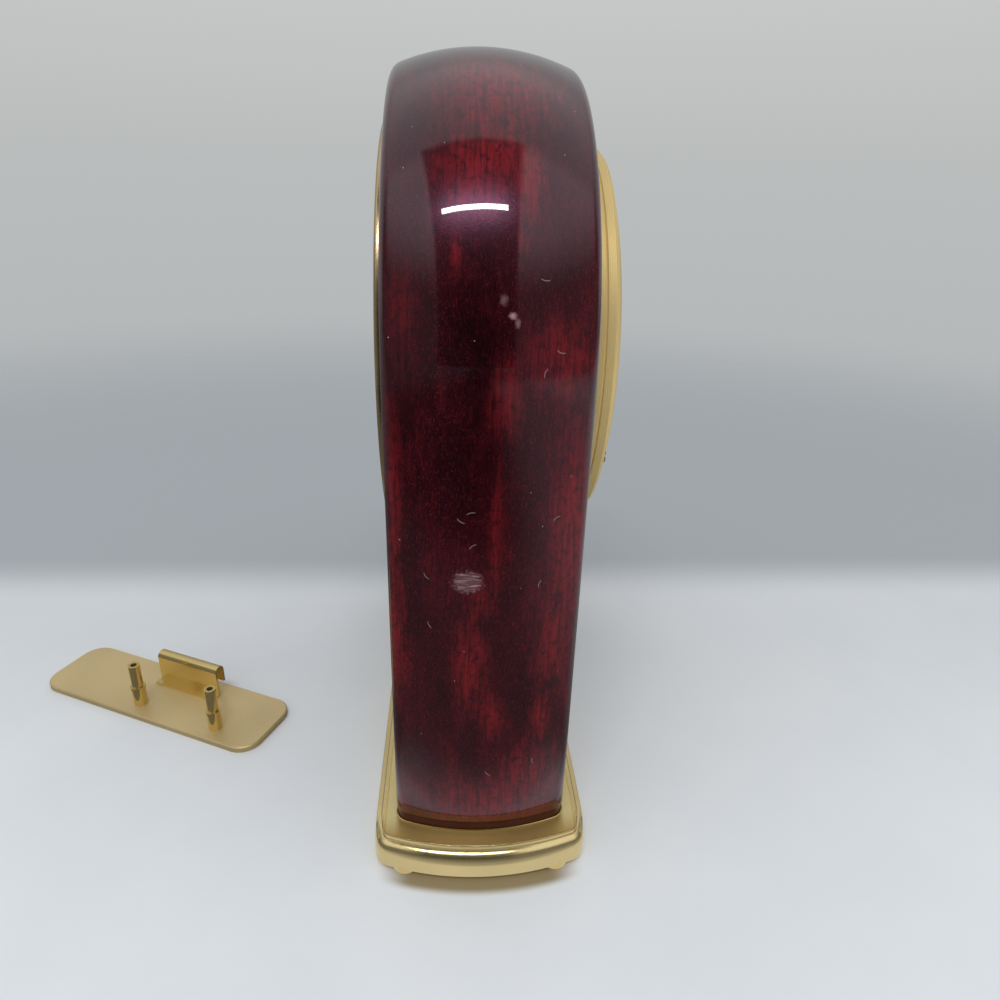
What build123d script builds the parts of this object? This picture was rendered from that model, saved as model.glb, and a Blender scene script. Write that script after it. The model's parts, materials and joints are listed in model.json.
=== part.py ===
from build123d import *
import math
import os

# A desk pendulette with an alarm: a lacquered arch on a gold base plate.
# Frame: origin on the table under the middle of the base, X across the dial,
# Y from front to back (the dial looks towards -Y), Z up. Lengths in millimetres.

# Clearances that many pieces share
overrun = 1.0
running = 0.08
seat_gap = 0.3
snug = 0.05
touch_gap = 0.15

# Dial, which the case and the base follow in size
dial_radius = 25.5
case_border = 9.9
base_border = 3.65
arch_radius = dial_radius + case_border

# Lacquered case
foot_to_arch = 56.74
case_thickness = 22.56
crown_sag = 2.32
case_edge_round = 1.8
band_wall = 2.1
face_wall = 1.6
boss_radius = 2.8
boss_height = 9.3
boss_bite = 0.4
cavity_half_width = arch_radius - crown_sag - band_wall
cavity_half_depth = case_thickness / 2 - face_wall
boss_place = cavity_half_width - boss_radius + boss_bite

# Base plate, its rolled edge and fine lines
feet_height = 1.2
feet_radius = 1.7
feet_inset_x = 4.3
feet_inset_y = 3.8
base_thickness = 4.0
base_depth = 28.0
base_end_reach = arch_radius + base_border
base_end_radius = 36.7
base_corner_round = 2.0
roll_width = 1.2
groove_width = 0.28
groove_depth = 0.3
bead_width = 0.4
line_width = 0.14
line_depth = 0.14

# Collar between plate and case
collar_height = 1.53
collar_inset = 0.3
collar_corner_round = 2.6
collar_wall = 2.0

# Battery hatch, which lies beside the clock, and its mouth in the base
hatch_end_room = 6.58
hatch_length = 2 * (boss_place - hatch_end_room)
hatch_width = 12.6
hatch_thickness = 1.0
hatch_corner = 3.4
hatch_edge_break = 0.2
hatch_seat_gap = 0.2
hatch_ledge = 1.4
hatch_end_x = 9.9
hatch_end_gap = 19.2
hatch_turn_degrees = 65.6
post_radius = 0.9
post_foot_radius = 1.08
post_height = 7.7
post_foot_height = 3.2
post_ring_radius = 1.22
post_ring_height = 0.35
post_bore = 0.5
post_bore_depth = 2.5
post_end_distance = 8.4
post_spacing = 15.6
post_off_centre = 3.5
clip_width = 12.4
clip_end_distance = 13.0
clip_leaf = 0.35
clip_height = 5.6
clip_gap = 1.3
clip_off_centre = 2.7
clip_return = 3.4
clip_foot = 1.4

# Battery compartment
cell_radius = 5.8
cell_thickness = 5.4
cell_cap_radius = 4.6
cell_cap_height = 0.5
cell_from_end = 9.0
cell_from_middle = hatch_length / 2 - cell_from_end
cell_lift = 0.3
holder_end_inset = 1.0
holder_half_length = hatch_length / 2 - holder_end_inset
holder_half_width = 8.0
holder_roof = 1.6
holder_flange_reach = boss_place - boss_radius - running
holder_flange_height = 1.4
contact_width = 4.0
contact_thickness = 0.25
contact_rise = 1.4
contact_start = 2.0
lead_radius = 0.4
lead_entry_x = 3.0
lead_kink_drop = 4.5
lead_rise = 5.5
lead_board_run = 3.0
lead_bend_share = 0.45

# Front: bezel, crystal, dial and hands
bezel_border = 2.54
bezel_radius = dial_radius + bezel_border
bezel_proud = 1.0
bezel_lip_thickness = 0.4
bezel_lip_width = 0.9
bezel_round = 0.45
bezel_flange_step = 0.28
bezel_flange_thickness = 0.26
bezel_tube_wall = 0.85
bezel_side_gap = 0.1
crystal_thickness = 1.2
gasket_thickness = 0.5
gasket_width = 1.0
dial_ring_depth = 2.2
dial_ring_front_width = 0.9
dial_ring_back_width = 1.9
dial_thickness = 0.4
dial_hole_gap = 0.4
marker_height = 0.18
marker_width = 0.5
marker_long = 2.0
marker_short = 1.2
marker_inset = 2.5
marker_edge_radius = dial_radius - marker_inset
hand_thickness = 0.2
hand_gap = 0.3
alarm_hand_lift = 0.55
minute_hand_inset = 3.8
hour_hand_inset = 6.2
alarm_hand_inset = 3.5
minute_hand_length = marker_edge_radius - minute_hand_inset
hour_hand_length = minute_hand_length - hour_hand_inset
alarm_hand_length = hour_hand_length - alarm_hand_inset
hand_widths = (1.6, 1.9, 0.8)
hand_hub_extra = 0.7
hand_tail = 3.4
arbor_nose = 0.15

# Movement plates and holder
plate_thickness = 1.2
layer_thickness = 0.6
layer_gap = 0.5
first_gap = 0.4
holder_radius = 23.4
holder_wall = 3.1
holder_end_gap = 0.28
holder_ledge_width = 1.2
holder_ledge_thickness = 0.7
pillar_radius = 1.2
pillar_ring_radius = 17.3
pillar_degrees = (25, 155, 205, 335)
rotor_room = 0.6

# Wheels: tooth form shares are of the tooth pitch or the module
addendum_share = 0.85
dedendum_share = 1.15
tip_share = 0.10
root_share = 0.28
setting_module = 0.25
hour_module = 0.24
centre_module = 0.20
train_module = 0.18
arbor_radius = 0.5
minute_arbor_radius = 0.6
pipe_wall = 0.52
stem_radius = 0.9
stem_side = 7.5
hub_wall = 0.5
hub_length = 0.35
cannon_teeth = 12
minute_teeth = 36
minute_pinion_teeth = 10
hour_teeth = 40
stem_teeth = 12
alarm_teeth = 36
alarm_stem_teeth = 24
centre_teeth = 60
third_pinion_teeth = 8
third_teeth = 64
seconds_pinion_teeth = 8
seconds_teeth = 60
intermediate_pinion_teeth = 10
intermediate_teeth = 40
rotor_pinion_teeth = 8
third_direction = -90
seconds_direction = -10
intermediate_direction = -90
rotor_direction = 180

# Motor
magnet_radius = 1.2
magnet_length = 1.5
rotor_air_gap = 0.3
stator_thickness = 0.9
stator_rim = 0.45
stator_bar_height = 2.3
stator_tab_width = 1.8
stator_left = 13.2
stator_tab_right = 3.2
core_height = 1.6
core_thickness = 0.6
core_drop = 8.5
coil_radius = 1.3
coil_end_gap = 0.2

# Circuit board and what it carries
standoff_height = 1.2
standoff_radius = 1.2
standoff_ring_radius = 15.0
standoff_degrees = (50, 222, 318)
board_thickness = 0.8
board_radius = 19.5
board_hole_gap = 0.4
can_radius = 1.0
can_length = 6.0
chip_radius = 2.5
chip_height = 0.9
small_part_x = 10.0
small_part_drop = 10.0
can_drop = 7.0
buzzer_radius = 6.5
buzzer_height = 3.2
buzzer_up = 10.5
switch_length = 9.0
switch_width = 4.4
switch_height = 3.8
switch_drop = 9.5
slider_foot_length = 5.0
slider_foot_width = 3.2
slider_foot_height = 0.8
slider_neck = 1.6
slider_travel = 3.0
slider_grip_length = 2.6
slider_grip_width = 2.2
slider_grip_height = 1.3
slider_slot_gap = 0.2

# Back cover and knobs
cover_radius = 24.75
cover_side = 3.68
cover_crown = 1.44
cover_wall = 0.8
cover_edge_round = 0.45
cover_bands = 3
cover_line_width = 0.16
cover_line_depth = 0.14
recess_radius = 16.5
recess_depth = 3.3
recess_lip = 0.6
cover_boss_radius = 1.5
knob_radius = 4.2
knob_height = 2.6
knob_floor_gap = 0.35
knob_ridges = 30
knob_ridge_depth = 0.22
knob_top_break = 0.3
knob_tip_share = 0.18
knob_foot_share = 0.36
stem_in_knob = 1.6
sound_hole_radius = 0.6
sound_ring_radius = 3.0
sound_holes = 6

# Screws: head radius, head height, shank radius
case_screw = (2.2, 1.2, 1.0)
small_screw = (1.2, 0.7, 0.55)
cover_screw = (1.2, 0.7, 0.6)
case_screw_bite = 7.0
small_screw_bite = 2.4
cover_screw_bite = 3.5
slot_width = 0.4
slot_depth = 0.35
screw_hole_gap = 0.06
screw_head_gap = 0.12

# Time shown at rest, in degrees clockwise from twelve
minute_degrees = 54
hour_degrees = 304.5
alarm_degrees = 195

# Heights
base_bottom = feet_height
base_top = base_bottom + base_thickness
case_foot = base_top + collar_height
arch_centre = case_foot + foot_to_arch

# Depths, from the front of the clock to its back
front_face = -case_thickness / 2
back_face = case_thickness / 2
bezel_front = front_face - bezel_proud
crystal_front = bezel_front + bezel_lip_thickness
crystal_back = crystal_front + crystal_thickness
gasket_back = crystal_back + gasket_thickness
dial_front = gasket_back + dial_ring_depth
dial_back = dial_front + dial_thickness
plate_back = dial_back + plate_thickness
alarm_hand_back = dial_front - alarm_hand_lift
hour_hand_back = alarm_hand_back - hand_thickness - hand_gap
minute_hand_back = hour_hand_back - hand_thickness - hand_gap
arbor_front = minute_hand_back - hand_thickness - arbor_nose


def layer_front(number):
    """Depth of the front side of a wheel layer, counted from the front plate."""
    return plate_back + first_gap + number * (layer_thickness + layer_gap)


(alarm_layer, hour_layer, minute_layer, centre_layer,
 third_layer, seconds_layer, intermediate_layer) = range(7)
magnet_front = layer_front(intermediate_layer) + layer_thickness + layer_gap
rear_plate_front = magnet_front + magnet_length + rotor_room
rear_plate_back = rear_plate_front + plate_thickness
board_front = rear_plate_back + standoff_height
board_back = board_front + board_thickness
holder_end = back_face - holder_end_gap
cover_edge = back_face + cover_side
cover_top = cover_edge + cover_crown
recess_floor = cover_top - recess_depth
knob_front = recess_floor + knob_floor_gap
knob_back = knob_front + knob_height

# Widths and radii that follow from what they hold
bezel_tube_inner = dial_radius + bezel_side_gap
bezel_tube_outer = bezel_tube_inner + bezel_tube_wall
front_opening = bezel_tube_outer + touch_gap
back_opening = holder_radius + seat_gap
holder_bore = holder_radius - holder_wall
plate_radius = holder_bore - seat_gap
hour_pipe_bore = minute_arbor_radius + running
hour_pipe_radius = hour_pipe_bore + pipe_wall
alarm_pipe_bore = hour_pipe_radius + running
alarm_pipe_radius = alarm_pipe_bore + pipe_wall
cover_screw_ring_radius = (holder_radius + holder_bore) / 2
cover_screw_degrees = (90, 210, 330)
holder_screw_place = (holder_half_length + holder_flange_reach) / 2 + touch_gap


def polar(distance, degrees):
    """A point at a distance and angle, as across and up."""
    return (distance * math.cos(math.radians(degrees)), distance * math.sin(math.radians(degrees)))


def stepped(place, distance, degrees):
    """A point a distance from another one, as across and up."""
    across, up = polar(distance, degrees)
    return (place[0] + across, place[1] + up)


def centre_distance(first_teeth, second_teeth, module):
    """Distance between the axes of two meshed wheels."""
    return (first_teeth + second_teeth) * module / 2


# Places of the axes, across and up from the centre of the dial
middle_place = (0, 0)
time_place = (stem_side, 0)
alarm_place = (-stem_side, 0)
minute_distance = centre_distance(cannon_teeth, minute_teeth, setting_module)
minute_place = (stem_side / 2, math.sqrt(minute_distance ** 2 - (stem_side / 2) ** 2))
third_place = polar(centre_distance(centre_teeth, third_pinion_teeth, centre_module), third_direction)
seconds_place = stepped(
    third_place, centre_distance(third_teeth, seconds_pinion_teeth, train_module), seconds_direction)
intermediate_place = stepped(
    seconds_place, centre_distance(seconds_teeth, intermediate_pinion_teeth, train_module),
    intermediate_direction)
rotor_place = stepped(
    intermediate_place, centre_distance(intermediate_teeth, rotor_pinion_teeth, train_module),
    rotor_direction)


def upright(drawing, rear, place=middle_place):
    """Stands a solid drawn flat on XY up in the clock, its drawn foot at the rear depth."""
    return Pos(place[0], rear, arch_centre + place[1]) * Rot(X=90) * drawing


def rod(radius, front, rear, place=middle_place, bore=0):
    """A round piece along Y between two depths, with a bore where one is given."""
    solid = Cylinder(radius, rear - front)
    if bore:
        solid -= Cylinder(bore, rear - front + 2 * overrun)
    return Pos(place[0], (front + rear) / 2, arch_centre + place[1]) * Rot(X=90) * solid


def bar(left, right, low, high, front, rear):
    """A block in the movement, from its sides measured at the dial's centre."""
    solid = Box(right - left, rear - front, high - low)
    return Pos((left + right) / 2, (front + rear) / 2, arch_centre + (low + high) / 2) * solid


def block(left, right, front, rear, low, high):
    """A block given by its sides in the clock's own frame."""
    solid = Box(right - left, rear - front, high - low)
    return Pos((left + right) / 2, (front + rear) / 2, (low + high) / 2) * solid


def turned(points, place=middle_place):
    """A turned piece: its outline, as radius and depth, spun about an axis along Y."""
    outline = make_face(Polyline(*[(radius, depth, 0) for radius, depth in points], close=True))
    return Pos(place[0], 0, arch_centre + place[1]) * revolve(outline, Axis.Y)


def star(teeth, tip_radius, foot_radius, tip_width_share, foot_width_share, thickness, phase=0):
    """A toothed disc drawn flat; the first tooth stands at the phase angle in radians."""
    pitch = 2 * math.pi / teeth
    points = []
    for number in range(teeth):
        middle = phase + number * pitch
        for share, radius in ((-foot_width_share, foot_radius), (-tip_width_share, tip_radius),
                              (tip_width_share, tip_radius), (foot_width_share, foot_radius)):
            angle = middle + share * pitch
            points.append((radius * math.cos(angle), radius * math.sin(angle)))
    return extrude(make_face(Polyline(*points, close=True)), thickness)


def wheel(teeth, module, layer, place=middle_place, phase=0):
    """A toothed wheel in its layer."""
    tip_radius = (teeth / 2 + addendum_share) * module
    foot_radius = (teeth / 2 - dedendum_share) * module
    drawing = star(teeth, tip_radius, foot_radius, tip_share, root_share, layer_thickness, phase)
    return upright(drawing, layer_front(layer) + layer_thickness, place)


def meshed_phase(teeth, phase, place, next_teeth, next_place):
    """The phase that puts a wheel's gaps over the teeth of the wheel that it meets."""
    towards = math.atan2(next_place[1] - place[1], next_place[0] - place[0])
    offset = phase - towards
    return towards + math.pi - offset * teeth / next_teeth + math.pi / next_teeth


def screw(sizes, length):
    """A slotted screw with its head on the floor of the drawing and its shank upward."""
    head_radius, head_height, shank_radius = sizes
    head = Pos(0, 0, head_height / 2) * Cylinder(head_radius, head_height)
    shank = Pos(0, 0, head_height + length / 2) * Cylinder(shank_radius, length)
    slot = Pos(0, 0, slot_depth / 2) * Box(2 * (head_radius + overrun), slot_width, slot_depth)
    return head + shank - slot


def screw_hole(sizes, length, sink):
    """The room of a screw that is sunk a little below the floor of the drawing."""
    head_radius, head_height, shank_radius = sizes
    pocket = head_height + sink + overrun
    head = Pos(0, 0, head_height + sink - pocket / 2) * Cylinder(head_radius + screw_head_gap, pocket)
    shank_length = length + overrun
    shank = Pos(0, 0, head_height + sink + shank_length / 2) * Cylinder(
        shank_radius + screw_hole_gap, shank_length)
    return head + shank


# Outlines

def case_section(half_depth, half_width, reach, corner):
    """Level section of the case: flat front and back, convex sides, soft corners."""
    front = Line((-half_width, -half_depth), (half_width, -half_depth))
    right = ThreePointArc((half_width, -half_depth), (reach, 0), (half_width, half_depth))
    back = Line((half_width, half_depth), (-half_width, half_depth))
    left = ThreePointArc((-half_width, half_depth), (-reach, 0), (-half_width, -half_depth))
    face = make_face([front, right, back, left])
    return fillet(face.vertices(), corner)


def base_outline(inset):
    """Plan of the base plate, drawn in from its rim by the inset."""
    half_depth = base_depth / 2 - inset
    radius = base_end_radius - inset
    arc_centre = base_end_reach - base_end_radius
    corner_x = arc_centre + math.sqrt(radius ** 2 - half_depth ** 2)
    reach = base_end_reach - inset
    front = Line((-corner_x, -half_depth), (corner_x, -half_depth))
    right = ThreePointArc((corner_x, -half_depth), (reach, 0), (corner_x, half_depth))
    back = Line((corner_x, half_depth), (-corner_x, half_depth))
    left = ThreePointArc((-corner_x, half_depth), (-reach, 0), (-corner_x, -half_depth))
    face = make_face([front, right, back, left])
    return fillet(face.vertices(), base_corner_round - min(inset, base_corner_round / 2))


# Base and case

def base_plate():
    """Gold plate: satin deck, two fine lines, a rolled edge and the hatch's mouth."""
    deck = extrude(Pos(0, 0, base_bottom) * base_outline(roll_width), base_thickness)
    rim_path = base_outline(roll_width).face().outer_wire()
    middle = base_bottom + base_thickness / 2
    start = base_depth / 2 - roll_width
    arc = EllipticalCenterArc((0, 0), roll_width, base_thickness / 2, start_angle=-90, arc_size=180)
    roll_face = make_face([arc, Line(arc @ 1, arc @ 0)])
    section = Plane(origin=(0, -start, middle), x_dir=(0, -1, 0), z_dir=(1, 0, 0)) * roll_face
    plate = deck + sweep(section, path=Pos(0, 0, middle) * rim_path)
    groove = base_outline(roll_width) - base_outline(roll_width + groove_width)
    plate -= extrude(Pos(0, 0, base_top - groove_depth) * groove, groove_depth + overrun)
    line_start = roll_width + groove_width + bead_width
    line = base_outline(line_start) - base_outline(line_start + line_width)
    plate -= extrude(Pos(0, 0, base_top - line_depth) * line, line_depth + overrun)
    seat_length = hatch_length + 2 * hatch_seat_gap
    seat_width = hatch_width + 2 * hatch_seat_gap
    seat = RectangleRounded(seat_length, seat_width, hatch_corner + hatch_seat_gap)
    plate -= extrude(Pos(0, 0, base_bottom - overrun) * seat, overrun + hatch_thickness)
    mouth = RectangleRounded(seat_length - 2 * hatch_ledge, seat_width - 2 * hatch_ledge, hatch_ledge)
    plate -= extrude(Pos(0, 0, base_bottom - overrun) * mouth, base_thickness + 2 * overrun)
    for side in (-1, 1):
        plate -= Pos(side * boss_place, 0, base_bottom) * screw_hole(case_screw, base_thickness, touch_gap)
        plate -= Pos(side * holder_screw_place, 0, base_bottom) * screw_hole(
            small_screw, base_thickness, touch_gap)
    return plate


def base_feet():
    """Four round feet under the corners of the plate."""
    across = base_end_reach - feet_inset_x
    deep = base_depth / 2 - feet_inset_y
    foot = Cylinder(feet_radius, feet_height)
    return [Pos(x, y, feet_height / 2) * foot for x in (-across, across) for y in (-deep, deep)]


def foot_collar():
    """Thin step that the case stands on, open in its middle for the battery holder."""
    half_depth = case_thickness / 2 - collar_inset
    half_width = arch_radius - crown_sag - collar_inset
    reach = arch_radius - collar_inset
    ring = extrude(Pos(0, 0, base_top) * case_section(half_depth, half_width, reach, collar_corner_round),
                   collar_height)
    inner = block(-half_width + collar_wall, half_width - collar_wall, -half_depth + collar_wall,
                  half_depth - collar_wall, base_top - overrun, case_foot + overrun)
    ring -= inner
    for side in (-1, 1):
        pad = Pos(side * boss_place, 0, base_top + collar_height / 2) * Cylinder(boss_radius, collar_height)
        ring += pad
        ring -= Pos(side * boss_place, 0, base_top) * Cylinder(
            case_screw[2] + screw_hole_gap, 2 * (collar_height + overrun))
    return ring


def arch(half_depth, half_width, reach, corner, foot):
    """An arch: the level section drawn up to the springing line and spun over the top."""
    section = case_section(half_depth, half_width, reach, corner)
    legs = extrude(Pos(0, 0, foot) * section, arch_centre - foot)
    half = section & Pos(reach, 0) * Rectangle(2 * reach, 2 * (half_depth + overrun))
    spin = Axis((0, 0, arch_centre), (0, -1, 0))
    return legs + revolve(Pos(0, 0, arch_centre) * half, spin, 180)


def case_shell():
    """Hollow lacquered arch, open below, with a round opening in front and behind."""
    half_width = arch_radius - crown_sag
    shell = arch(case_thickness / 2, half_width, arch_radius, case_edge_round, case_foot)
    room = block(-cavity_half_width, cavity_half_width, -cavity_half_depth, cavity_half_depth,
                 case_foot - overrun, arch_centre)
    shell -= room
    shell -= rod(cavity_half_width, -cavity_half_depth, cavity_half_depth)
    for side in (-1, 1):
        boss = Pos(side * boss_place, 0, case_foot + boss_height / 2) * Cylinder(boss_radius, boss_height)
        shell += boss
        shell -= Pos(side * boss_place, 0, case_foot) * Cylinder(
            case_screw[2] + screw_hole_gap, 2 * (case_screw_bite + overrun))
    shell -= rod(front_opening, front_face - overrun, front_face + face_wall + overrun)
    shell -= rod(back_opening, back_face - face_wall - overrun, back_face + overrun)
    return shell


def case_screws():
    """Two screws from below, through plate and collar into the case's bosses."""
    length = base_thickness - case_screw[1] - touch_gap + collar_height + case_screw_bite
    return [Pos(side * boss_place, 0, base_bottom + touch_gap) * screw(case_screw, length)
            for side in (-1, 1)]


# Front of the clock

def front_bezel():
    """Polished ring with a thin flange on the lacquer, a lip over the glass and a tube behind."""
    shoulder = bezel_radius - bezel_flange_step
    lip = dial_radius - bezel_lip_width
    round_steps = 6
    points = [(lip, crystal_front), (lip, bezel_front + bezel_round / 2),
              (lip + bezel_round / 2, bezel_front)]
    for number in range(round_steps + 1):
        angle = math.pi / 2 * number / round_steps
        points.append((shoulder - bezel_round + bezel_round * math.sin(angle),
                       bezel_front + bezel_round - bezel_round * math.cos(angle)))
    points += [(shoulder, front_face - bezel_flange_thickness),
               (bezel_radius, front_face - bezel_flange_thickness),
               (bezel_radius, front_face), (bezel_tube_outer, front_face), (bezel_tube_outer, dial_back),
               (bezel_tube_inner, dial_back), (bezel_tube_inner, crystal_front)]
    return turned(points)


def crystal():
    """Flat mineral glass with a small edge break."""
    edge = bezel_round / 2
    return turned([(0, crystal_front), (dial_radius - edge, crystal_front),
                   (dial_radius, crystal_front + edge),
                   (dial_radius, crystal_back), (0, crystal_back)])


def crystal_gasket():
    """Ring behind the glass."""
    return rod(dial_radius, crystal_back, gasket_back, bore=dial_radius - gasket_width)


def dial_ring():
    """Sloping ring between the glass and the dial."""
    return turned([(dial_radius, gasket_back), (dial_radius, dial_front),
                   (dial_radius - dial_ring_back_width, dial_front),
                   (dial_radius - dial_ring_front_width, gasket_back)])


def dial():
    """Thin round dial, open in the middle for the pipes of the hands."""
    return rod(dial_radius, dial_front, dial_back, bore=alarm_pipe_radius + dial_hole_gap)


def hour_markers():
    """Twelve raised batons, longer at the quarters."""
    markers = []
    for hour in range(12):
        length = marker_long if hour % 3 == 0 else marker_short
        baton = Pos(0, marker_edge_radius - length / 2, marker_height / 2) * Box(
            marker_width, length, marker_height)
        markers.append(upright(Rot(Z=-30 * hour) * baton, dial_front))
    return markers


def hand(length, width, rear, hub_radius, hole, degrees):
    """A pointed hand with a tail, drawn at twelve and turned clockwise."""
    shoulder_share = 0.62
    foot_share = 0.45
    points = [(-width * foot_share, -hand_tail), (width * foot_share, -hand_tail),
              (width / 2, length * shoulder_share), (0, length), (-width / 2, length * shoulder_share)]
    blade = extrude(make_face(Polyline(*points, close=True)), hand_thickness)
    hub = Pos(0, 0, hand_thickness / 2) * Cylinder(hub_radius, hand_thickness)
    shape = blade + hub - Cylinder(hole, 2 * (hand_thickness + overrun))
    return upright(Rot(Z=-degrees) * shape, rear)


def minute_hand():
    return hand(minute_hand_length, hand_widths[0], minute_hand_back, minute_arbor_radius + hand_hub_extra,
                minute_arbor_radius, minute_degrees)


def hour_hand():
    return hand(hour_hand_length, hand_widths[1], hour_hand_back, hour_pipe_radius + hand_hub_extra,
                hour_pipe_radius, hour_degrees)


def alarm_hand():
    return hand(alarm_hand_length, hand_widths[2], alarm_hand_back, alarm_pipe_radius + hand_hub_extra,
                alarm_pipe_radius, alarm_degrees)


# Movement plates and holder

def movement_holder():
    """Moulded ring that centres the movement in both openings and carries the back cover."""
    flange = rod(front_opening - seat_gap, dial_back, plate_back, bore=holder_bore)
    ring = rod(holder_radius, plate_back, holder_end, bore=holder_bore)
    ledge = rod(holder_bore + snug, plate_back, plate_back + holder_ledge_thickness,
                bore=holder_bore - holder_ledge_width)
    holder = flange + ring + ledge
    for degrees in cover_screw_degrees:
        place = polar(cover_screw_ring_radius, degrees)
        holder -= rod(cover_screw[2] + screw_hole_gap, holder_end - cover_screw_bite - overrun,
                      holder_end + overrun, place)
    for side in (-1, 1):
        passage = Cylinder(lead_radius + seat_gap, holder_wall + 2 * overrun)
        passage_height = arch_centre - (holder_radius + holder_bore) / 2
        holder -= Pos(side * lead_entry_x, lead_depth(), passage_height) * passage
    return holder


def arbor_places():
    """Axes of the going train, whose pivots both plates hold."""
    return (third_place, seconds_place, intermediate_place, rotor_place)


def front_plate():
    """Dial-side plate with the pivot holes and the stud of the minute wheel."""
    plate = rod(plate_radius, dial_back, plate_back, bore=alarm_pipe_radius + running)
    for place in arbor_places():
        plate -= rod(arbor_radius + running, dial_back - overrun, plate_back + overrun, place)
    for place in (time_place, alarm_place):
        plate -= rod(stem_radius + running, dial_back - overrun, plate_back + overrun, place)
    stud_end = layer_front(minute_layer) + layer_thickness
    plate += rod(arbor_radius, plate_back, stud_end, minute_place)
    return plate


def pillar_places():
    return [polar(pillar_ring_radius, degrees) for degrees in pillar_degrees]


def standoff_places():
    return [polar(standoff_ring_radius, degrees) for degrees in standoff_degrees]


def movement_pillars():
    """Four pillars between the plates, bored for the plate screws."""
    pillars = []
    for place in pillar_places():
        pillar = rod(pillar_radius, plate_back, rear_plate_front, place)
        pillar -= rod(small_screw[2] + screw_hole_gap, rear_plate_front - small_screw_bite - overrun,
                      rear_plate_front + overrun, place)
        pillars.append(pillar)
    return pillars


def rear_plate():
    """Back plate with pivot holes, screw holes and the board's standoffs."""
    plate = rod(plate_radius, rear_plate_front, rear_plate_back)
    plate -= rod(minute_arbor_radius + running, rear_plate_front - overrun, rear_plate_back + overrun)
    for place in arbor_places():
        plate -= rod(arbor_radius + running, rear_plate_front - overrun, rear_plate_back + overrun, place)
    for place in (time_place, alarm_place):
        plate -= rod(stem_radius + running, rear_plate_front - overrun, rear_plate_back + overrun, place)
    for place in pillar_places():
        plate -= rod(small_screw[2] + screw_hole_gap, rear_plate_front - overrun, rear_plate_back + overrun,
                     place)
    for place in standoff_places():
        plate += rod(standoff_radius, rear_plate_back, board_front, place)
        plate -= rod(small_screw[2] + screw_hole_gap, board_front - small_screw_bite, board_front + overrun,
                     place)
    return plate


def from_behind(sizes, length, seat, place):
    """A screw driven from the back, its head resting on the seat depth."""
    return Pos(place[0], seat + sizes[1], arch_centre + place[1]) * Rot(X=90) * screw(sizes, length)


def movement_screws():
    """Seven small screws: four in the pillars, three that hold the board."""
    bite = small_screw_bite - touch_gap
    plate_screws = [from_behind(small_screw, plate_thickness + bite, rear_plate_back, place)
                    for place in pillar_places()]
    board_screws = [from_behind(small_screw, board_thickness + bite - touch_gap, board_back, place)
                    for place in standoff_places()]
    return plate_screws + board_screws


# Hands' wheels

def cannon_pinion():
    """Minute arbor with its pinion; the minute hand sits on its front end."""
    arbor = rod(minute_arbor_radius, arbor_front, rear_plate_back - touch_gap)
    return arbor + wheel(cannon_teeth, setting_module, minute_layer)


def minute_wheel_phase():
    return meshed_phase(cannon_teeth, 0, middle_place, minute_teeth, minute_place)


def minute_wheel():
    """Wheel and pinion on the stud, between the cannon pinion and the hour wheel."""
    gear = wheel(minute_teeth, setting_module, minute_layer, minute_place, minute_wheel_phase())
    pinion = wheel(minute_pinion_teeth, hour_module, hour_layer, minute_place)
    neck_radius = (minute_pinion_teeth / 2 - dedendum_share) * hour_module
    neck = rod(neck_radius, layer_front(hour_layer) + layer_thickness, layer_front(minute_layer),
               minute_place)
    room = rod(arbor_radius + running, plate_back, layer_front(centre_layer), minute_place)
    return gear + pinion + neck - room


def hour_wheel():
    """Wheel with the pipe that carries the hour hand."""
    phase = meshed_phase(minute_pinion_teeth, 0, minute_place, hour_teeth, middle_place)
    gear = wheel(hour_teeth, hour_module, hour_layer, middle_place, phase)
    pipe_end = layer_front(hour_layer) + layer_thickness
    pipe = rod(hour_pipe_radius, hour_hand_back - hand_thickness - arbor_nose, pipe_end)
    return gear + pipe - rod(hour_pipe_bore, arbor_front, pipe_end + overrun)


def alarm_wheel():
    """Wheel with the outer pipe that carries the alarm hand."""
    gear = wheel(alarm_teeth, setting_module, alarm_layer)
    pipe_end = layer_front(alarm_layer) + layer_thickness
    pipe = rod(alarm_pipe_radius, alarm_hand_back - hand_thickness - arbor_nose, pipe_end)
    return gear + pipe - rod(alarm_pipe_bore, arbor_front, pipe_end + overrun)


def stem(place, gear):
    """A setting stem from the front plate back to its knob, with its toothed part."""
    return rod(stem_radius, dial_back + touch_gap, knob_front + stem_in_knob, place) + gear


def time_stem():
    phase = meshed_phase(minute_teeth, minute_wheel_phase(), minute_place, stem_teeth, time_place)
    return stem(time_place, wheel(stem_teeth, setting_module, minute_layer, time_place, phase))


def alarm_stem():
    phase = meshed_phase(alarm_teeth, 0, middle_place, alarm_stem_teeth, alarm_place)
    return stem(alarm_place, wheel(alarm_stem_teeth, setting_module, alarm_layer, alarm_place, phase))


# Going train

def train_arbor(place):
    """An arbor whose two pivots run in the plates."""
    return rod(arbor_radius, dial_back + touch_gap, rear_plate_back - touch_gap, place)


def centre_wheel():
    """Wheel that drives the minute arbor through friction, free to slip on it."""
    gear = wheel(centre_teeth, centre_module, centre_layer)
    front = layer_front(centre_layer)
    rear = front + layer_thickness
    hub = rod(minute_arbor_radius + running + hub_wall, front, rear + hub_length)
    return gear + hub - rod(minute_arbor_radius + running, front - overrun, rear + hub_length + overrun)


def third_wheel():
    pinion_phase = meshed_phase(centre_teeth, 0, middle_place, third_pinion_teeth, third_place)
    pinion = wheel(third_pinion_teeth, centre_module, centre_layer, third_place, pinion_phase)
    return train_arbor(third_place) + pinion + wheel(third_teeth, train_module, third_layer, third_place)


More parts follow.
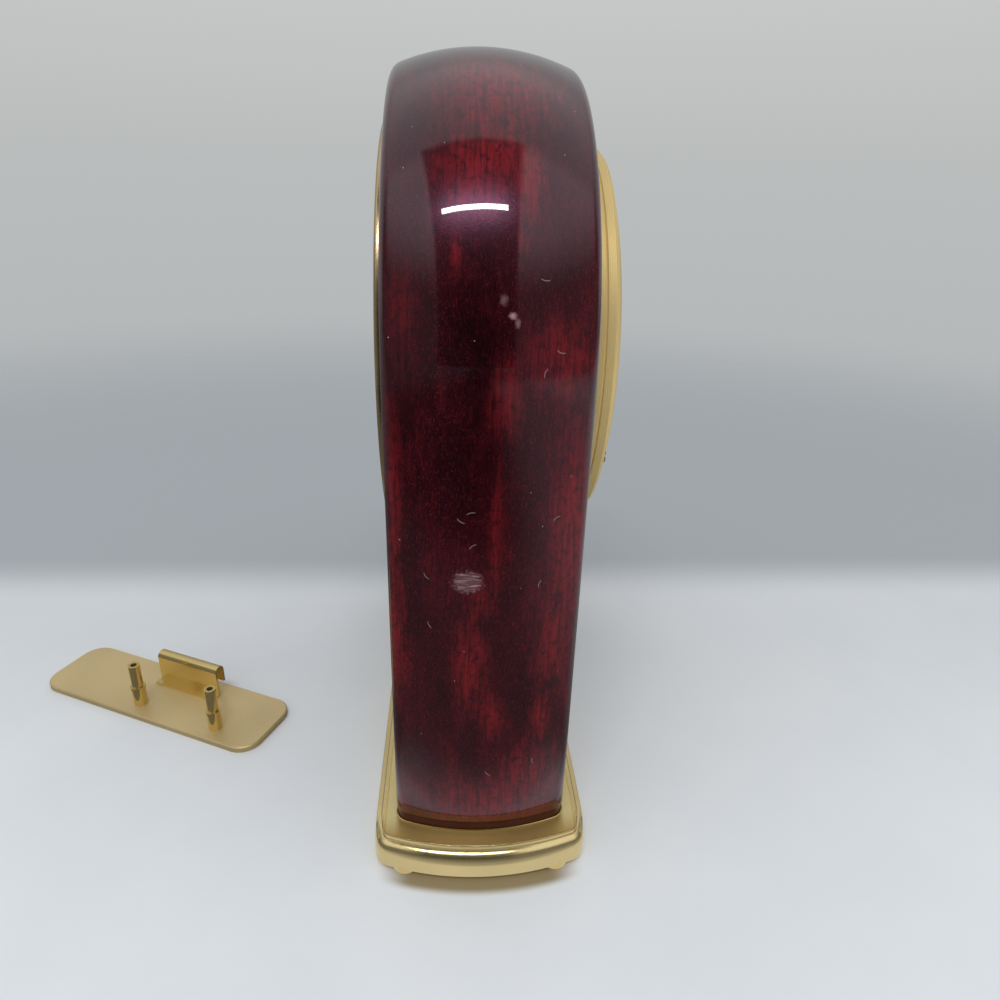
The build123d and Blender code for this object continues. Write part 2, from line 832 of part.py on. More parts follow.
def seconds_wheel():
    pinion_phase = meshed_phase(third_teeth, 0, third_place, seconds_pinion_teeth, seconds_place)
    pinion = wheel(seconds_pinion_teeth, train_module, third_layer, seconds_place, pinion_phase)
    gear = wheel(seconds_teeth, train_module, seconds_layer, seconds_place)
    return train_arbor(seconds_place) + pinion + gear


def intermediate_wheel():
    pinion_phase = meshed_phase(seconds_teeth, 0, seconds_place, intermediate_pinion_teeth,
                                intermediate_place)
    pinion = wheel(intermediate_pinion_teeth, train_module, seconds_layer, intermediate_place, pinion_phase)
    gear = wheel(intermediate_teeth, train_module, intermediate_layer, intermediate_place)
    return train_arbor(intermediate_place) + pinion + gear


def rotor():
    """Magnet of the stepping motor with its pinion."""
    pinion_phase = meshed_phase(intermediate_teeth, 0, intermediate_place, rotor_pinion_teeth, rotor_place)
    pinion = wheel(rotor_pinion_teeth, train_module, intermediate_layer, rotor_place, pinion_phase)
    magnet = rod(magnet_radius, magnet_front, magnet_front + magnet_length, rotor_place)
    return train_arbor(rotor_place) + pinion + magnet


# Motor

stator_front = magnet_front + (magnet_length - stator_thickness) / 2
rotor_hole = magnet_radius + rotor_air_gap
stator_low = rotor_place[1] - rotor_hole - stator_rim
stator_high = rotor_place[1] + rotor_hole + stator_rim
core_high = -core_drop + core_height / 2


def stator():
    """Flat iron round the rotor, with two tabs up to the coil's core."""
    rear = stator_front + stator_thickness
    right = rotor_place[0] + rotor_hole + 2 * stator_rim
    ring = bar(-stator_tab_right, right, stator_low, stator_high, stator_front, rear)
    leg = bar(-stator_left, 0, stator_high - stator_bar_height, stator_high, stator_front, rear)
    tab_low = stator_high - stator_rim
    left_tab = bar(-stator_left, -stator_left + stator_tab_width, tab_low, core_high, stator_front, rear)
    right_tab = bar(-stator_tab_right, -stator_tab_right + stator_tab_width, tab_low, core_high,
                    stator_front, rear)
    hole = rod(rotor_hole, stator_front - overrun, rear + overrun, rotor_place)
    return ring + leg + left_tab + right_tab - hole


def coil_core():
    """Iron bar on the stator's tabs, through the coil."""
    return bar(-stator_left, -stator_tab_right + stator_tab_width, -core_drop - core_height / 2, core_high,
               stator_front - core_thickness, stator_front)


def coil():
    """Winding round the core."""
    left = -stator_left + stator_tab_width + coil_end_gap
    right = -stator_tab_right - coil_end_gap
    depth = stator_front - core_thickness / 2
    winding = Cylinder(coil_radius, right - left) - Box(
        core_height + 2 * snug, core_thickness + 2 * snug, right - left + overrun)
    return Pos((left + right) / 2, depth, arch_centre - core_drop) * Rot(Y=90) * winding


# Electronics

def circuit_board():
    board = rod(board_radius, board_front, board_back)
    for place in (time_place, alarm_place):
        board -= rod(stem_radius + board_hole_gap, board_front - overrun, board_back + overrun, place)
    for place in standoff_places():
        board -= rod(small_screw[2] + screw_hole_gap, board_front - overrun, board_back + overrun, place)
    return board


def quartz_can():
    can = Cylinder(can_radius, can_length)
    return Pos(small_part_x, board_back + can_radius, arch_centre - can_drop) * Rot(Y=90) * can


def chip():
    return rod(chip_radius, board_back, board_back + chip_height, (-small_part_x, small_part_drop))


def buzzer():
    return rod(buzzer_radius, board_back, board_back + buzzer_height, (0, buzzer_up),
               bore=sound_hole_radius)


def switch_body():
    return bar(-switch_length / 2, switch_length / 2, -switch_drop - switch_width / 2,
               -switch_drop + switch_width / 2, board_back, board_back + switch_height)


def alarm_switch():
    """Slider of the alarm switch, at its off end."""
    start = -slider_travel / 2
    foot_front = board_back + switch_height + touch_gap
    foot_rear = foot_front + slider_foot_height
    foot = bar(start - slider_foot_length / 2, start + slider_foot_length / 2,
               -switch_drop - slider_foot_width / 2, -switch_drop + slider_foot_width / 2,
               foot_front, foot_rear)
    grip_front = recess_floor + touch_gap
    neck = bar(start - slider_neck / 2, start + slider_neck / 2, -switch_drop - slider_neck / 2,
               -switch_drop + slider_neck / 2, foot_rear, grip_front)
    grip = bar(start - slider_grip_length / 2, start + slider_grip_length / 2,
               -switch_drop - slider_grip_width / 2, -switch_drop + slider_grip_width / 2,
               grip_front, grip_front + slider_grip_height)
    return foot + neck + grip


# Back cover and knobs

def cover_side_points():
    """The cover's side wall from its foot to its edge, with fine turned lines."""
    points = []
    band = (cover_side - cover_edge_round) / cover_bands
    depth = back_face
    points.append((cover_radius, depth))
    for number in range(1, cover_bands):
        line = back_face + number * band
        points += [(cover_radius, line - cover_line_width), (cover_radius - cover_line_depth, line),
                   (cover_radius, line + cover_line_width)]
    points.append((cover_radius, cover_edge - cover_edge_round))
    points.append((cover_radius - cover_edge_round, cover_edge))
    return points


def crown_depth(radius, outer, inner, edge, top):
    """Depth of the crowned ring of the cover at a radius."""
    share = (outer - radius) / (outer - inner)
    return edge + (top - edge) * math.sin(math.pi / 2 * share)


def back_cover():
    """Satin cap with a crowned ring and a round recess for the controls."""
    crown_steps = 8
    outer = cover_radius - cover_edge_round
    lip = recess_radius + recess_lip
    points = cover_side_points()
    for number in range(1, crown_steps + 1):
        radius = outer + (lip - outer) * number / crown_steps
        points.append((radius, crown_depth(radius, outer, lip, cover_edge, cover_top)))
    points += [(recess_radius, cover_top - recess_lip), (recess_radius, recess_floor), (0, recess_floor),
               (0, recess_floor - cover_wall), (recess_radius + cover_wall, recess_floor - cover_wall)]
    inner_outer = cover_radius - cover_wall
    inner_lip = recess_radius + cover_wall
    for number in range(crown_steps + 1):
        radius = inner_lip + (inner_outer - inner_lip) * number / crown_steps
        inner_edge = cover_edge - cover_wall
        depth = crown_depth(radius, inner_outer, inner_lip, inner_edge, cover_top - cover_wall)
        points.append((radius, depth))
    points.append((inner_outer, back_face))
    cover = turned(points)
    seat = cover_screw_seat()
    for degrees in cover_screw_degrees:
        place = polar(cover_screw_ring_radius, degrees)
        cover += rod(cover_boss_radius, holder_end, seat, place)
        cover -= rod(cover_screw[0] + screw_head_gap, seat, cover_top + overrun, place)
        cover -= rod(cover_screw[2] + screw_hole_gap, holder_end - overrun, seat + overrun, place)
    for place in (time_place, alarm_place):
        cover -= rod(stem_radius + seat_gap, recess_floor - cover_wall - overrun, recess_floor + overrun,
                     place)
    slot_half = (slider_travel + slider_neck) / 2 + slider_slot_gap
    slot_up = slider_neck / 2 + slider_slot_gap
    cover -= bar(-slot_half, slot_half, -switch_drop - slot_up, -switch_drop + slot_up,
                 recess_floor - cover_wall - overrun, recess_floor + overrun)
    for number in range(sound_holes):
        place = stepped((0, buzzer_up), sound_ring_radius, 360 * number / sound_holes)
        cover -= rod(sound_hole_radius, recess_floor - cover_wall - overrun, recess_floor + overrun, place)
    return cover


def cover_screw_seat():
    """Depth that the heads of the back cover's screws rest on."""
    outer = cover_radius - cover_edge_round
    crown = crown_depth(cover_screw_ring_radius, outer, recess_radius + recess_lip, cover_edge, cover_top)
    return crown - cover_screw[1] - touch_gap


def back_cover_screws():
    """Three screws through the crowned ring into the holder."""
    seat = cover_screw_seat()
    length = seat - holder_end + cover_screw_bite
    return [from_behind(cover_screw, length, seat, polar(cover_screw_ring_radius, degrees))
            for degrees in cover_screw_degrees]


def knob(place):
    """A ridged knob on the end of its stem."""
    drawing = star(knob_ridges, knob_radius, knob_radius - knob_ridge_depth, knob_tip_share,
                   knob_foot_share, knob_height - knob_top_break)
    cap = Pos(0, 0, -knob_top_break / 2) * Cone(knob_radius - knob_ridge_depth - knob_top_break,
                                               knob_radius - knob_ridge_depth, knob_top_break)
    solid = upright(drawing + cap, knob_back - knob_top_break, place)
    return solid - rod(stem_radius, knob_front - overrun, knob_front + stem_in_knob, place)


# Battery compartment

cell_axis_height = base_top + cell_lift + cell_radius
cell_room_top = cell_axis_height + cell_radius + cell_lift
holder_top = cell_room_top + holder_roof
cell_middle = -cell_from_middle
contact_top = holder_top + contact_rise


def post_places():
    """The two posts, in the hatch's own frame with its middle at the origin."""
    first = hatch_length / 2 - post_end_distance
    return [(first, -post_off_centre), (first - post_spacing, -post_off_centre)]


def clip_span():
    """Left and right end of the clip in the hatch's own frame."""
    right = hatch_length / 2 - clip_end_distance
    return (right - clip_width, right)


def battery_holder():
    """Moulded block on the base: cell room, post sockets and the clip's pocket, open below."""
    body = block(-holder_half_length, holder_half_length, -holder_half_width, holder_half_width,
                 base_top, holder_top)
    flange = block(-holder_flange_reach, holder_flange_reach, -boss_radius, boss_radius, base_top,
                   base_top + holder_flange_height)
    holder = body + flange
    room_half = cell_thickness / 2 + contact_thickness + snug
    holder -= block(cell_middle - cell_radius - cell_lift, cell_middle + cell_radius + cell_lift,
                    -room_half, room_half, base_top - overrun, cell_room_top)
    for side in (-1, 1):
        holder -= Pos(0, side * (cell_thickness + contact_thickness) / 2, 0) * block(
            cell_middle - contact_width / 2 - snug, cell_middle + contact_width / 2 + snug,
            -contact_thickness / 2 - snug, contact_thickness / 2 + snug,
            cell_room_top - snug, holder_top + overrun)
        holder -= Pos(side * holder_screw_place, 0, base_top) * Cylinder(
            small_screw[2] + screw_hole_gap, 2 * (holder_flange_height + overrun))
    socket_depth = post_height - (base_thickness - hatch_thickness) + touch_gap
    for place in post_places():
        holder -= Pos(place[0], place[1], base_top) * Cylinder(post_radius + snug, 2 * socket_depth)
    left, right = clip_span()
    pocket_half = clip_gap / 2 + clip_leaf + seat_gap
    pocket_middle = clip_off_centre + (clip_gap + clip_leaf) / 2
    pocket_top = base_bottom + hatch_thickness + clip_height + seat_gap
    holder -= block(left - seat_gap, right + seat_gap, pocket_middle - pocket_half,
                    pocket_middle + pocket_half, base_top - overrun, pocket_top)
    return holder


def holder_screws():
    """Two small screws from below that hold the battery holder."""
    length = base_thickness - small_screw[1] - touch_gap + holder_flange_height
    return [Pos(side * holder_screw_place, 0, base_bottom + touch_gap) * screw(small_screw, length)
            for side in (-1, 1)]


def battery():
    """Button cell standing on edge, its smaller cap towards the back."""
    can_length = cell_thickness - cell_cap_height
    can = Cylinder(cell_radius, can_length)
    cap = Pos(0, 0, -cell_thickness / 2) * Cylinder(cell_cap_radius, cell_cap_height)
    return Pos(cell_middle, -cell_cap_height / 2, cell_axis_height) * Rot(X=90) * (can + cap)


def contact(side):
    """Contact strip beside the cell, up through the holder's roof."""
    near = cell_thickness / 2
    far = near + contact_thickness
    front, rear = sorted((side * near, side * far))
    return block(cell_middle - contact_width / 2, cell_middle + contact_width / 2, front, rear,
                 base_top + contact_start, contact_top)


def lead_depth():
    """Depth at which the leads lie against the back of the board."""
    return board_back + lead_radius + snug


def lead_path(side):
    """Route of a lead: up from its contact, over to its entry and up to the board."""
    depth = side * (cell_thickness + contact_thickness) / 2
    entry = arch_centre - holder_radius - lead_kink_drop
    end = arch_centre - math.sqrt(board_radius ** 2 - lead_entry_x ** 2) + lead_board_run
    points = [Vector(cell_middle, depth, contact_top), Vector(cell_middle, depth, contact_top + lead_rise),
              Vector(side * lead_entry_x, lead_depth(), entry),
              Vector(side * lead_entry_x, lead_depth(), end)]
    radii = []
    for before, corner, after in zip(points, points[1:], points[2:]):
        first = corner - before
        second = after - corner
        half_turn = math.radians(first.get_angle(second)) / 2
        radii.append(lead_bend_share * min(first.length, second.length) / math.tan(half_turn))
    return FilletPolyline(*points, radius=radii)


def battery_leads():
    """Two insulated wires from the contacts to the circuit board."""
    leads = []
    for side in (-1, 1):
        path = lead_path(side)
        section = Plane(origin=path @ 0, z_dir=path % 0) * Circle(lead_radius)
        leads.append(sweep(section, path=path))
    return leads


# Battery hatch

def beside_clock(piece):
    """Puts a hatch piece, drawn in its own frame, where it lies beside the base."""
    angle = math.radians(hatch_turn_degrees)
    end_y = -(base_depth / 2 + hatch_end_gap)
    middle_x = hatch_end_x - math.cos(angle) * hatch_length / 2
    middle_y = end_y - math.sin(angle) * hatch_length / 2
    return Pos(middle_x, middle_y, 0) * Rot(Z=hatch_turn_degrees) * piece


def hatch_plate():
    plate = extrude(RectangleRounded(hatch_length, hatch_width, hatch_corner), hatch_thickness)
    return beside_clock(chamfer(plate.edges().group_by(Axis.Z)[-1], hatch_edge_break))


def hatch_posts():
    """Two stepped posts with a ring at mid height and a hole in the end."""
    posts = []
    for place in post_places():
        foot = Pos(0, 0, post_foot_height / 2) * Cylinder(post_foot_radius, post_foot_height)
        ring_middle = post_foot_height + post_ring_height / 2
        ring = Pos(0, 0, ring_middle) * Cylinder(post_ring_radius, post_ring_height)
        pin = Pos(0, 0, post_height / 2) * Cylinder(post_radius, post_height)
        hole = Pos(0, 0, post_height) * Cylinder(post_bore, 2 * post_bore_depth)
        posts.append(beside_clock(Pos(place[0], place[1], hatch_thickness) * (foot + ring + pin - hole)))
    return posts


def hatch_clip():
    """Leaf spring: a foot on the plate, a leg up, a round bend and a shorter leg back down."""
    inner = clip_gap / 2
    outer = inner + clip_leaf
    bend = clip_height - outer
    left_outer = Line((-outer - clip_foot, 0), (-outer - clip_foot, clip_leaf))
    foot_top = Line((-outer - clip_foot, clip_leaf), (-outer, clip_leaf))
    rise = Line((-outer, clip_leaf), (-outer, bend))
    over = ThreePointArc((-outer, bend), (0, clip_height), (outer, bend))
    drop = Line((outer, bend), (outer, clip_height - clip_return))
    end = Line((outer, clip_height - clip_return), (inner, clip_height - clip_return))
    back_up = Line((inner, clip_height - clip_return), (inner, bend))
    under = ThreePointArc((inner, bend), (0, bend + inner), (-inner, bend))
    back_down = Line((-inner, bend), (-inner, 0))
    foot_under = Line((-inner, 0), (-outer - clip_foot, 0))
    profile = make_face(
        [left_outer, foot_top, rise, over, drop, end, back_up, under, back_down, foot_under])
    left, right = clip_span()
    plane = Plane(origin=(left, clip_off_centre + outer, hatch_thickness), x_dir=(0, 1, 0), z_dir=(1, 0, 0))
    return beside_clock(extrude(plane * profile, right - left))


pieces = {
    "base_plate": base_plate(),
    "base_feet": base_feet(),
    "foot_collar": foot_collar(),
    "case_shell": case_shell(),
    "case_screws": case_screws(),
    "front_bezel": front_bezel(),
    "crystal": crystal(),
    "crystal_gasket": crystal_gasket(),
    "dial_ring": dial_ring(),
    "dial": dial(),
    "hour_markers": hour_markers(),
    "minute_hand": minute_hand(),
    "hour_hand": hour_hand(),
    "alarm_hand": alarm_hand(),
    "movement_holder": movement_holder(),
    "front_plate": front_plate(),
    "rear_plate": rear_plate(),
    "movement_pillars": movement_pillars(),
    "movement_screws": movement_screws(),
    "cannon_pinion": cannon_pinion(),
    "minute_wheel": minute_wheel(),
    "hour_wheel": hour_wheel(),
    "alarm_wheel": alarm_wheel(),
    "time_stem": time_stem(),
    "alarm_stem": alarm_stem(),
    "time_knob": knob(time_place),
    "alarm_knob": knob(alarm_place),
    "centre_wheel": centre_wheel(),
    "third_wheel": third_wheel(),
    "seconds_wheel": seconds_wheel(),
    "intermediate_wheel": intermediate_wheel(),
    "rotor": rotor(),
    "stator": stator(),
    "coil_core": coil_core(),
    "coil": coil(),
    "circuit_board": circuit_board(),
    "quartz_can": quartz_can(),
    "chip": chip(),
    "buzzer": buzzer(),
    "switch_body": switch_body(),
    "alarm_switch": alarm_switch(),
    "back_cover": back_cover(),
    "back_cover_screws": back_cover_screws(),
    "battery_holder": battery_holder(),
    "holder_screws": holder_screws(),
    "battery": battery(),
    "plus_contact": contact(-1),
    "minus_contact": contact(1),
    "battery_leads": battery_leads(),
    "hatch_plate": hatch_plate(),
    "hatch_posts": hatch_posts(),
    "hatch_clip": hatch_clip(),
}

os.makedirs("parts", exist_ok=True)
for name, shape in pieces.items():
    solids = shape if isinstance(shape, list) else [shape]
    export_step(Compound([solid for piece in solids for solid in piece.solids()]), f"parts/{name}.step")
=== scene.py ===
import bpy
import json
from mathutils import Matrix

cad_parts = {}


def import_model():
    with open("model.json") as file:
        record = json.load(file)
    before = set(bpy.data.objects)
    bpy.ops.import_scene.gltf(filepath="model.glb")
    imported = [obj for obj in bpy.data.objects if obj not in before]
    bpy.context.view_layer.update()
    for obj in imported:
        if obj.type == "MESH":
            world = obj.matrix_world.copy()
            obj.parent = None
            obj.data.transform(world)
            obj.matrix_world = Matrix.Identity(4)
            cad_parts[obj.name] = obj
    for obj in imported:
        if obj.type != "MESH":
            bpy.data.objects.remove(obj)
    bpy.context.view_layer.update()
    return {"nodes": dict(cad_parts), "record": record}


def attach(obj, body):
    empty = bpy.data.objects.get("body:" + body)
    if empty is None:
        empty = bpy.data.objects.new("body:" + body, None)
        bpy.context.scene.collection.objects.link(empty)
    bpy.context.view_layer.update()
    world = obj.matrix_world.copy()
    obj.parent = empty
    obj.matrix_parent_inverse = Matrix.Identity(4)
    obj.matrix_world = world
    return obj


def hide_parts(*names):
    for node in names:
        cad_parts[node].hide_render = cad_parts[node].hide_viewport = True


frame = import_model()

import json
import math

import bmesh
import bpy
from mathutils import Matrix, Vector

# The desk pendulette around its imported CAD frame. Lengths are in metres; mm turns millimetres into them.
mm = 0.001
nodes = frame["nodes"]
scene = bpy.context.scene

# Main measures of the clock, as in the solids
arch_centre = 63.47 * mm
case_foot = 6.73 * mm
arch_reach = 35.385 * mm
crown_sag = 2.32 * mm
case_half_depth = 11.28 * mm
case_edge_round = 1.8 * mm
face_wall = 1.6 * mm
front_opening = 26.6 * mm
back_opening = 23.7 * mm
base_half_depth = 14.0 * mm
base_reach = 39.05 * mm
base_end_radius = 36.7 * mm
roll_width = 1.2 * mm
path_corner = 1.0 * mm
dial_front = -7.98 * mm

# Heights on the base, in plain millimetres
plate_top = 5.2
plate_foot = 1.2
roll_foot = 0.8
seat_height = 2.2
band_top = 6.73

# The battery mouth in the plate and the hatch's seat round it: half length, half width and corner
mouth_plan = (20.8, 5.1, 1.4)
seat_plan = (22.2, 6.5, 3.6)

# The base's bowed ends have a rolled section, its long sides a plain one: they blend between these places
blend_start = 32.5 * mm
blend_end = 35.6 * mm

# The rolled section below its step: the run of each stretch and its face's lean at the end, in degrees
roll_first_lean = 75
roll_bends = ((0.10, 64), (0.55, 50), (0.55, 20), (0.75, 10), (0.35, 0))
bend_steps = 6
roll_corner = 0.25
side_corner = 0.08

# Pads under the plate
pad_reach = 35.9 * mm
pad_side = 10.0 * mm
pad_steps = 48

# Print on the dial, in plain millimetres
track_radius = 23.3
numeral_radius = 18.2
numeral_size = 4.6

# Camera, as recovered from the photograph's perspective: turns in radians, lens and sensor in millimetres
camera_yaw = -0.0717
camera_pitch = 0.4219
camera_roll = -0.0311
camera_lens = 26.46
camera_sensor = 36
camera_place = (106.34 * mm, -3.91 * mm, 85.22 * mm)


# Camera: where the photograph was taken from

def photo_camera():
    forward, right, up = Vector((-1, 0, 0)), Vector((0, 1, 0)), Vector((0, 0, 1))
    turn = Matrix.Rotation(camera_yaw, 3, "Z")
    forward, right = turn @ forward, turn @ right
    turn = Matrix.Rotation(-camera_pitch, 3, right)
    forward, up = turn @ forward, turn @ up
    turn = Matrix.Rotation(camera_roll, 3, forward)
    right, up = turn @ right, turn @ up
    data = bpy.data.cameras.new("camera")
    data.lens = camera_lens
    data.sensor_width = camera_sensor
    data.clip_start = 1 * mm
    data.clip_end = 20
    camera = bpy.data.objects.new("camera", data)
    scene.collection.objects.link(camera)
    rotation = Matrix((right, up, -forward)).transposed().to_4x4()
    camera.matrix_world = Matrix.Translation(camera_place) @ rotation
    scene.camera = camera


photo_camera()


# Node helpers

def new_material(name, **sockets):
    """A material and its shader; the keywords are socket names with _ for spaces."""
    material = bpy.data.materials.new(name)
    material.use_nodes = True
    shader = material.node_tree.nodes["Principled BSDF"]
    for socket, value in sockets.items():
        shader.inputs[socket.replace("_", " ")].default_value = value
    return material


def add(material, kind, inputs=None, **settings):
    """A node with its settings; each input is a value or another node's socket."""
    node = material.node_tree.nodes.new(kind)
    for name, value in settings.items():
        setattr(node, name, value)
    for key, value in (inputs or {}).items():
        if isinstance(value, bpy.types.NodeSocket):
            material.node_tree.links.new(value, node.inputs[key])
        else:
            node.inputs[key].default_value = value
    return node


def place_vector(material, stretch=(1, 1, 1)):
    """The place on the object in millimetres, stretched along its axes."""
    where = add(material, "ShaderNodeTexCoord")
    scale = [value / mm for value in stretch]
    return add(material, "ShaderNodeMapping",
               {"Vector": where.outputs["Object"], "Scale": scale}).outputs[0]


def noise(material, vector, scale, detail=3.0, roughness=0.5):
    return add(material, "ShaderNodeTexNoise",
               {"Vector": vector, "Scale": scale, "Detail": detail, "Roughness": roughness}).outputs["Fac"]


def ramp(material, factor, stops):
    """A colour or grey from a factor; stops are (place, grey or colour)."""
    node = add(material, "ShaderNodeValToRGB", {"Fac": factor})
    elements = node.color_ramp.elements
    while len(elements) < len(stops):
        elements.new(0.5)
    for element, (position, colour) in zip(elements, stops):
        element.position = position
        element.color = (colour, colour, colour, 1) if isinstance(colour, (int, float)) else (*colour, 1)
    return node.outputs["Color"]


def mix(material, factor, first, second, blend="MIX"):
    node = add(material, "ShaderNodeMix", data_type="RGBA", blend_type=blend)
    for index, value in ((0, factor), (6, first), (7, second)):
        if isinstance(value, bpy.types.NodeSocket):
            material.node_tree.links.new(value, node.inputs[index])
        else:
            node.inputs[index].default_value = value if isinstance(value, (int, float)) else (*value, 1)
    return node.outputs[2]


def calc(material, operation, first, second=0.0, third=0.0):
    return add(material, "ShaderNodeMath", {0: first, 1: second, 2: third}, operation=operation).outputs[0]


def times(material, first, second):
    return calc(material, "MULTIPLY", first, second)


def inverse(material, value):
    return calc(material, "SUBTRACT", 1.0, value)


def vector_calc(material, operation, first, second):
    return add(material, "ShaderNodeVectorMath", {0: first, 1: second}, operation=operation).outputs[0]


def vector_length(material, vector):
    return add(material, "ShaderNodeVectorMath", {0: vector}, operation="LENGTH").outputs["Value"]


def mix_shader(material, share, first, second):
    return add(material, "ShaderNodeMixShader", {0: share, 1: first, 2: second}).outputs[0]


def smooth_step(material, value, low, high, start=0.0, end=1.0):
    return add(material, "ShaderNodeMapRange", {0: value, 1: low, 2: high, 3: start, 4: end},
               interpolation_type="SMOOTHSTEP").outputs[0]


def wire(material, socket, output):
    material.node_tree.links.new(output, material.node_tree.nodes["Principled BSDF"].inputs[socket])


def bump(material, height, strength, distance=0.05, under=None):
    inputs = {"Height": height, "Strength": strength, "Distance": distance * mm}
    if under:
        inputs["Normal"] = under
    return add(material, "ShaderNodeBump", inputs).outputs["Normal"]


# Finishes

def gold(name, colour, roughness, grain, stretch=(1, 1, 1), grain_scale=6.0, spots=0.0, metallic=1.0):
    """Gilt brass: slow tone change, a fine grain that breaks the gloss, and small dark spots."""
    material = new_material(name, Metallic=metallic)
    slow = noise(material, place_vector(material), 0.09, 1)
    pale = tuple(min(1.0, 1.05 * value) for value in colour)
    deep = tuple(0.93 * value for value in colour)
    tone = ramp(material, slow, [(0.3, deep), (0.7, pale)])
    fine = noise(material, place_vector(material, stretch), grain_scale, 5, 0.65)
    if spots:
        speck = noise(material, place_vector(material), 3.1, 2)
        tone = mix(material, ramp(material, speck, [(0.70, 0.0), (0.78, spots)]), tone, (0.16, 0.10, 0.05))
    wire(material, "Base Color", tone)
    wire(material, "Roughness", ramp(material, fine, [(0.3, 0.75 * roughness), (0.7, 1.3 * roughness)]))
    wire(material, "Normal", bump(material, fine, grain, 0.02))
    return material


def deck_gold():
    """Satin gilt of the plate's top with painted light: a brighter painted sheen along the straight sides,
    so the bowed ends stay browner as painted shade and reflection of the case.
    """
    material = gold("deck_gold", (0.62, 0.42, 0.14), 0.38, 0.35, spots=0.5, metallic=0.75)
    split = add(material, "ShaderNodeSeparateXYZ", {0: place_vector(material)})
    aside = calc(material, "ABSOLUTE", split.outputs[1])
    lengthways = calc(material, "ABSOLUTE", split.outputs[0])
    # Painted sheen mask: the straight sides, fading out towards the bowed ends
    sides = smooth_step(material, aside, 10.6, 11.6)
    ends = smooth_step(material, lengthways, 32.0, 37.0, 1.0, 0.0)
    sides = times(material, sides, ends)
    shader = material.node_tree.nodes["Principled BSDF"]
    worn = shader.inputs["Base Color"].links[0].from_socket
    # The pale gold mixed in here is painted sheen, not the gilt's own colour
    wire(material, "Base Color", mix(material, sides, worn, (1.0, 0.84, 0.42)))
    return material


def turned_gold(name, colour, roughness, centre_height, metallic=0.6):
    """Satin gilt with fine rings about the dial's axis."""
    material = new_material(name, Metallic=metallic)
    where = add(material, "ShaderNodeTexCoord")
    flat = vector_calc(material, "MULTIPLY", where.outputs["Object"], (1 / mm, 0, 1 / mm))
    offset = vector_calc(material, "SUBTRACT", flat, (0, 0, centre_height / mm))
    radius = vector_length(material, offset)
    depth = add(material, "ShaderNodeSeparateXYZ", {0: where.outputs["Object"]}).outputs[1]
    depth = times(material, depth, 1 / mm)
    line = add(material, "ShaderNodeCombineXYZ", {0: radius, 1: depth}).outputs[0]
    rings = noise(material, line, 9.0, 6, 0.7)
    grit = noise(material, place_vector(material), 7.0, 3, 0.6)
    slow = noise(material, place_vector(material), 0.1, 1)
    deep = tuple(0.92 * value for value in colour)
    tone = ramp(material, slow, [(0.3, deep), (0.7, colour)])
    ring_tone = ramp(material, rings, [(0.3, 0.35), (0.7, 1.0)])
    wire(material, "Base Color", mix(material, 0.3, tone, ring_tone, "MULTIPLY"))
    wire(material, "Roughness", ramp(material, grit, [(0.3, 0.8 * roughness), (0.7, 1.25 * roughness)]))
    wire(material, "Normal", bump(material, rings, 0.5, 0.02, bump(material, grit, 0.25, 0.02)))
    return material


def moulded(name, colour, roughness=0.45, grain=0.25):
    """Moulded plastic or rubber with a fine eroded grain."""
    material = new_material(name)
    fine = noise(material, place_vector(material), 8.0, 4, 0.6)
    slow = noise(material, place_vector(material), 0.4, 2)
    pale = tuple(min(1.0, 1.05 * value + 0.003) for value in colour)
    wire(material, "Base Color", ramp(material, slow, [(0.3, colour), (0.7, pale)]))
    wire(material, "Roughness", ramp(material, fine, [(0.3, 0.8 * roughness), (0.7, 1.2 * roughness)]))
    wire(material, "Normal", bump(material, fine, grain, 0.03))
    return material


def brushed(name, colour, roughness=0.32, stretch=(0.08, 2, 2), grain=0.25):
    """Metal with a drawn grain along one axis."""
    material = new_material(name, Metallic=1.0)
    lines = noise(material, place_vector(material, stretch), 5.0, 5, 0.6)
    slow = noise(material, place_vector(material), 0.2, 2)
    deep = tuple(0.82 * value for value in colour)
    wire(material, "Base Color", ramp(material, slow, [(0.3, deep), (0.7, colour)]))
    wire(material, "Roughness", ramp(material, lines, [(0.3, 0.7 * roughness), (0.7, 1.3 * roughness)]))
    wire(material, "Normal", bump(material, lines, grain, 0.02))
    return material


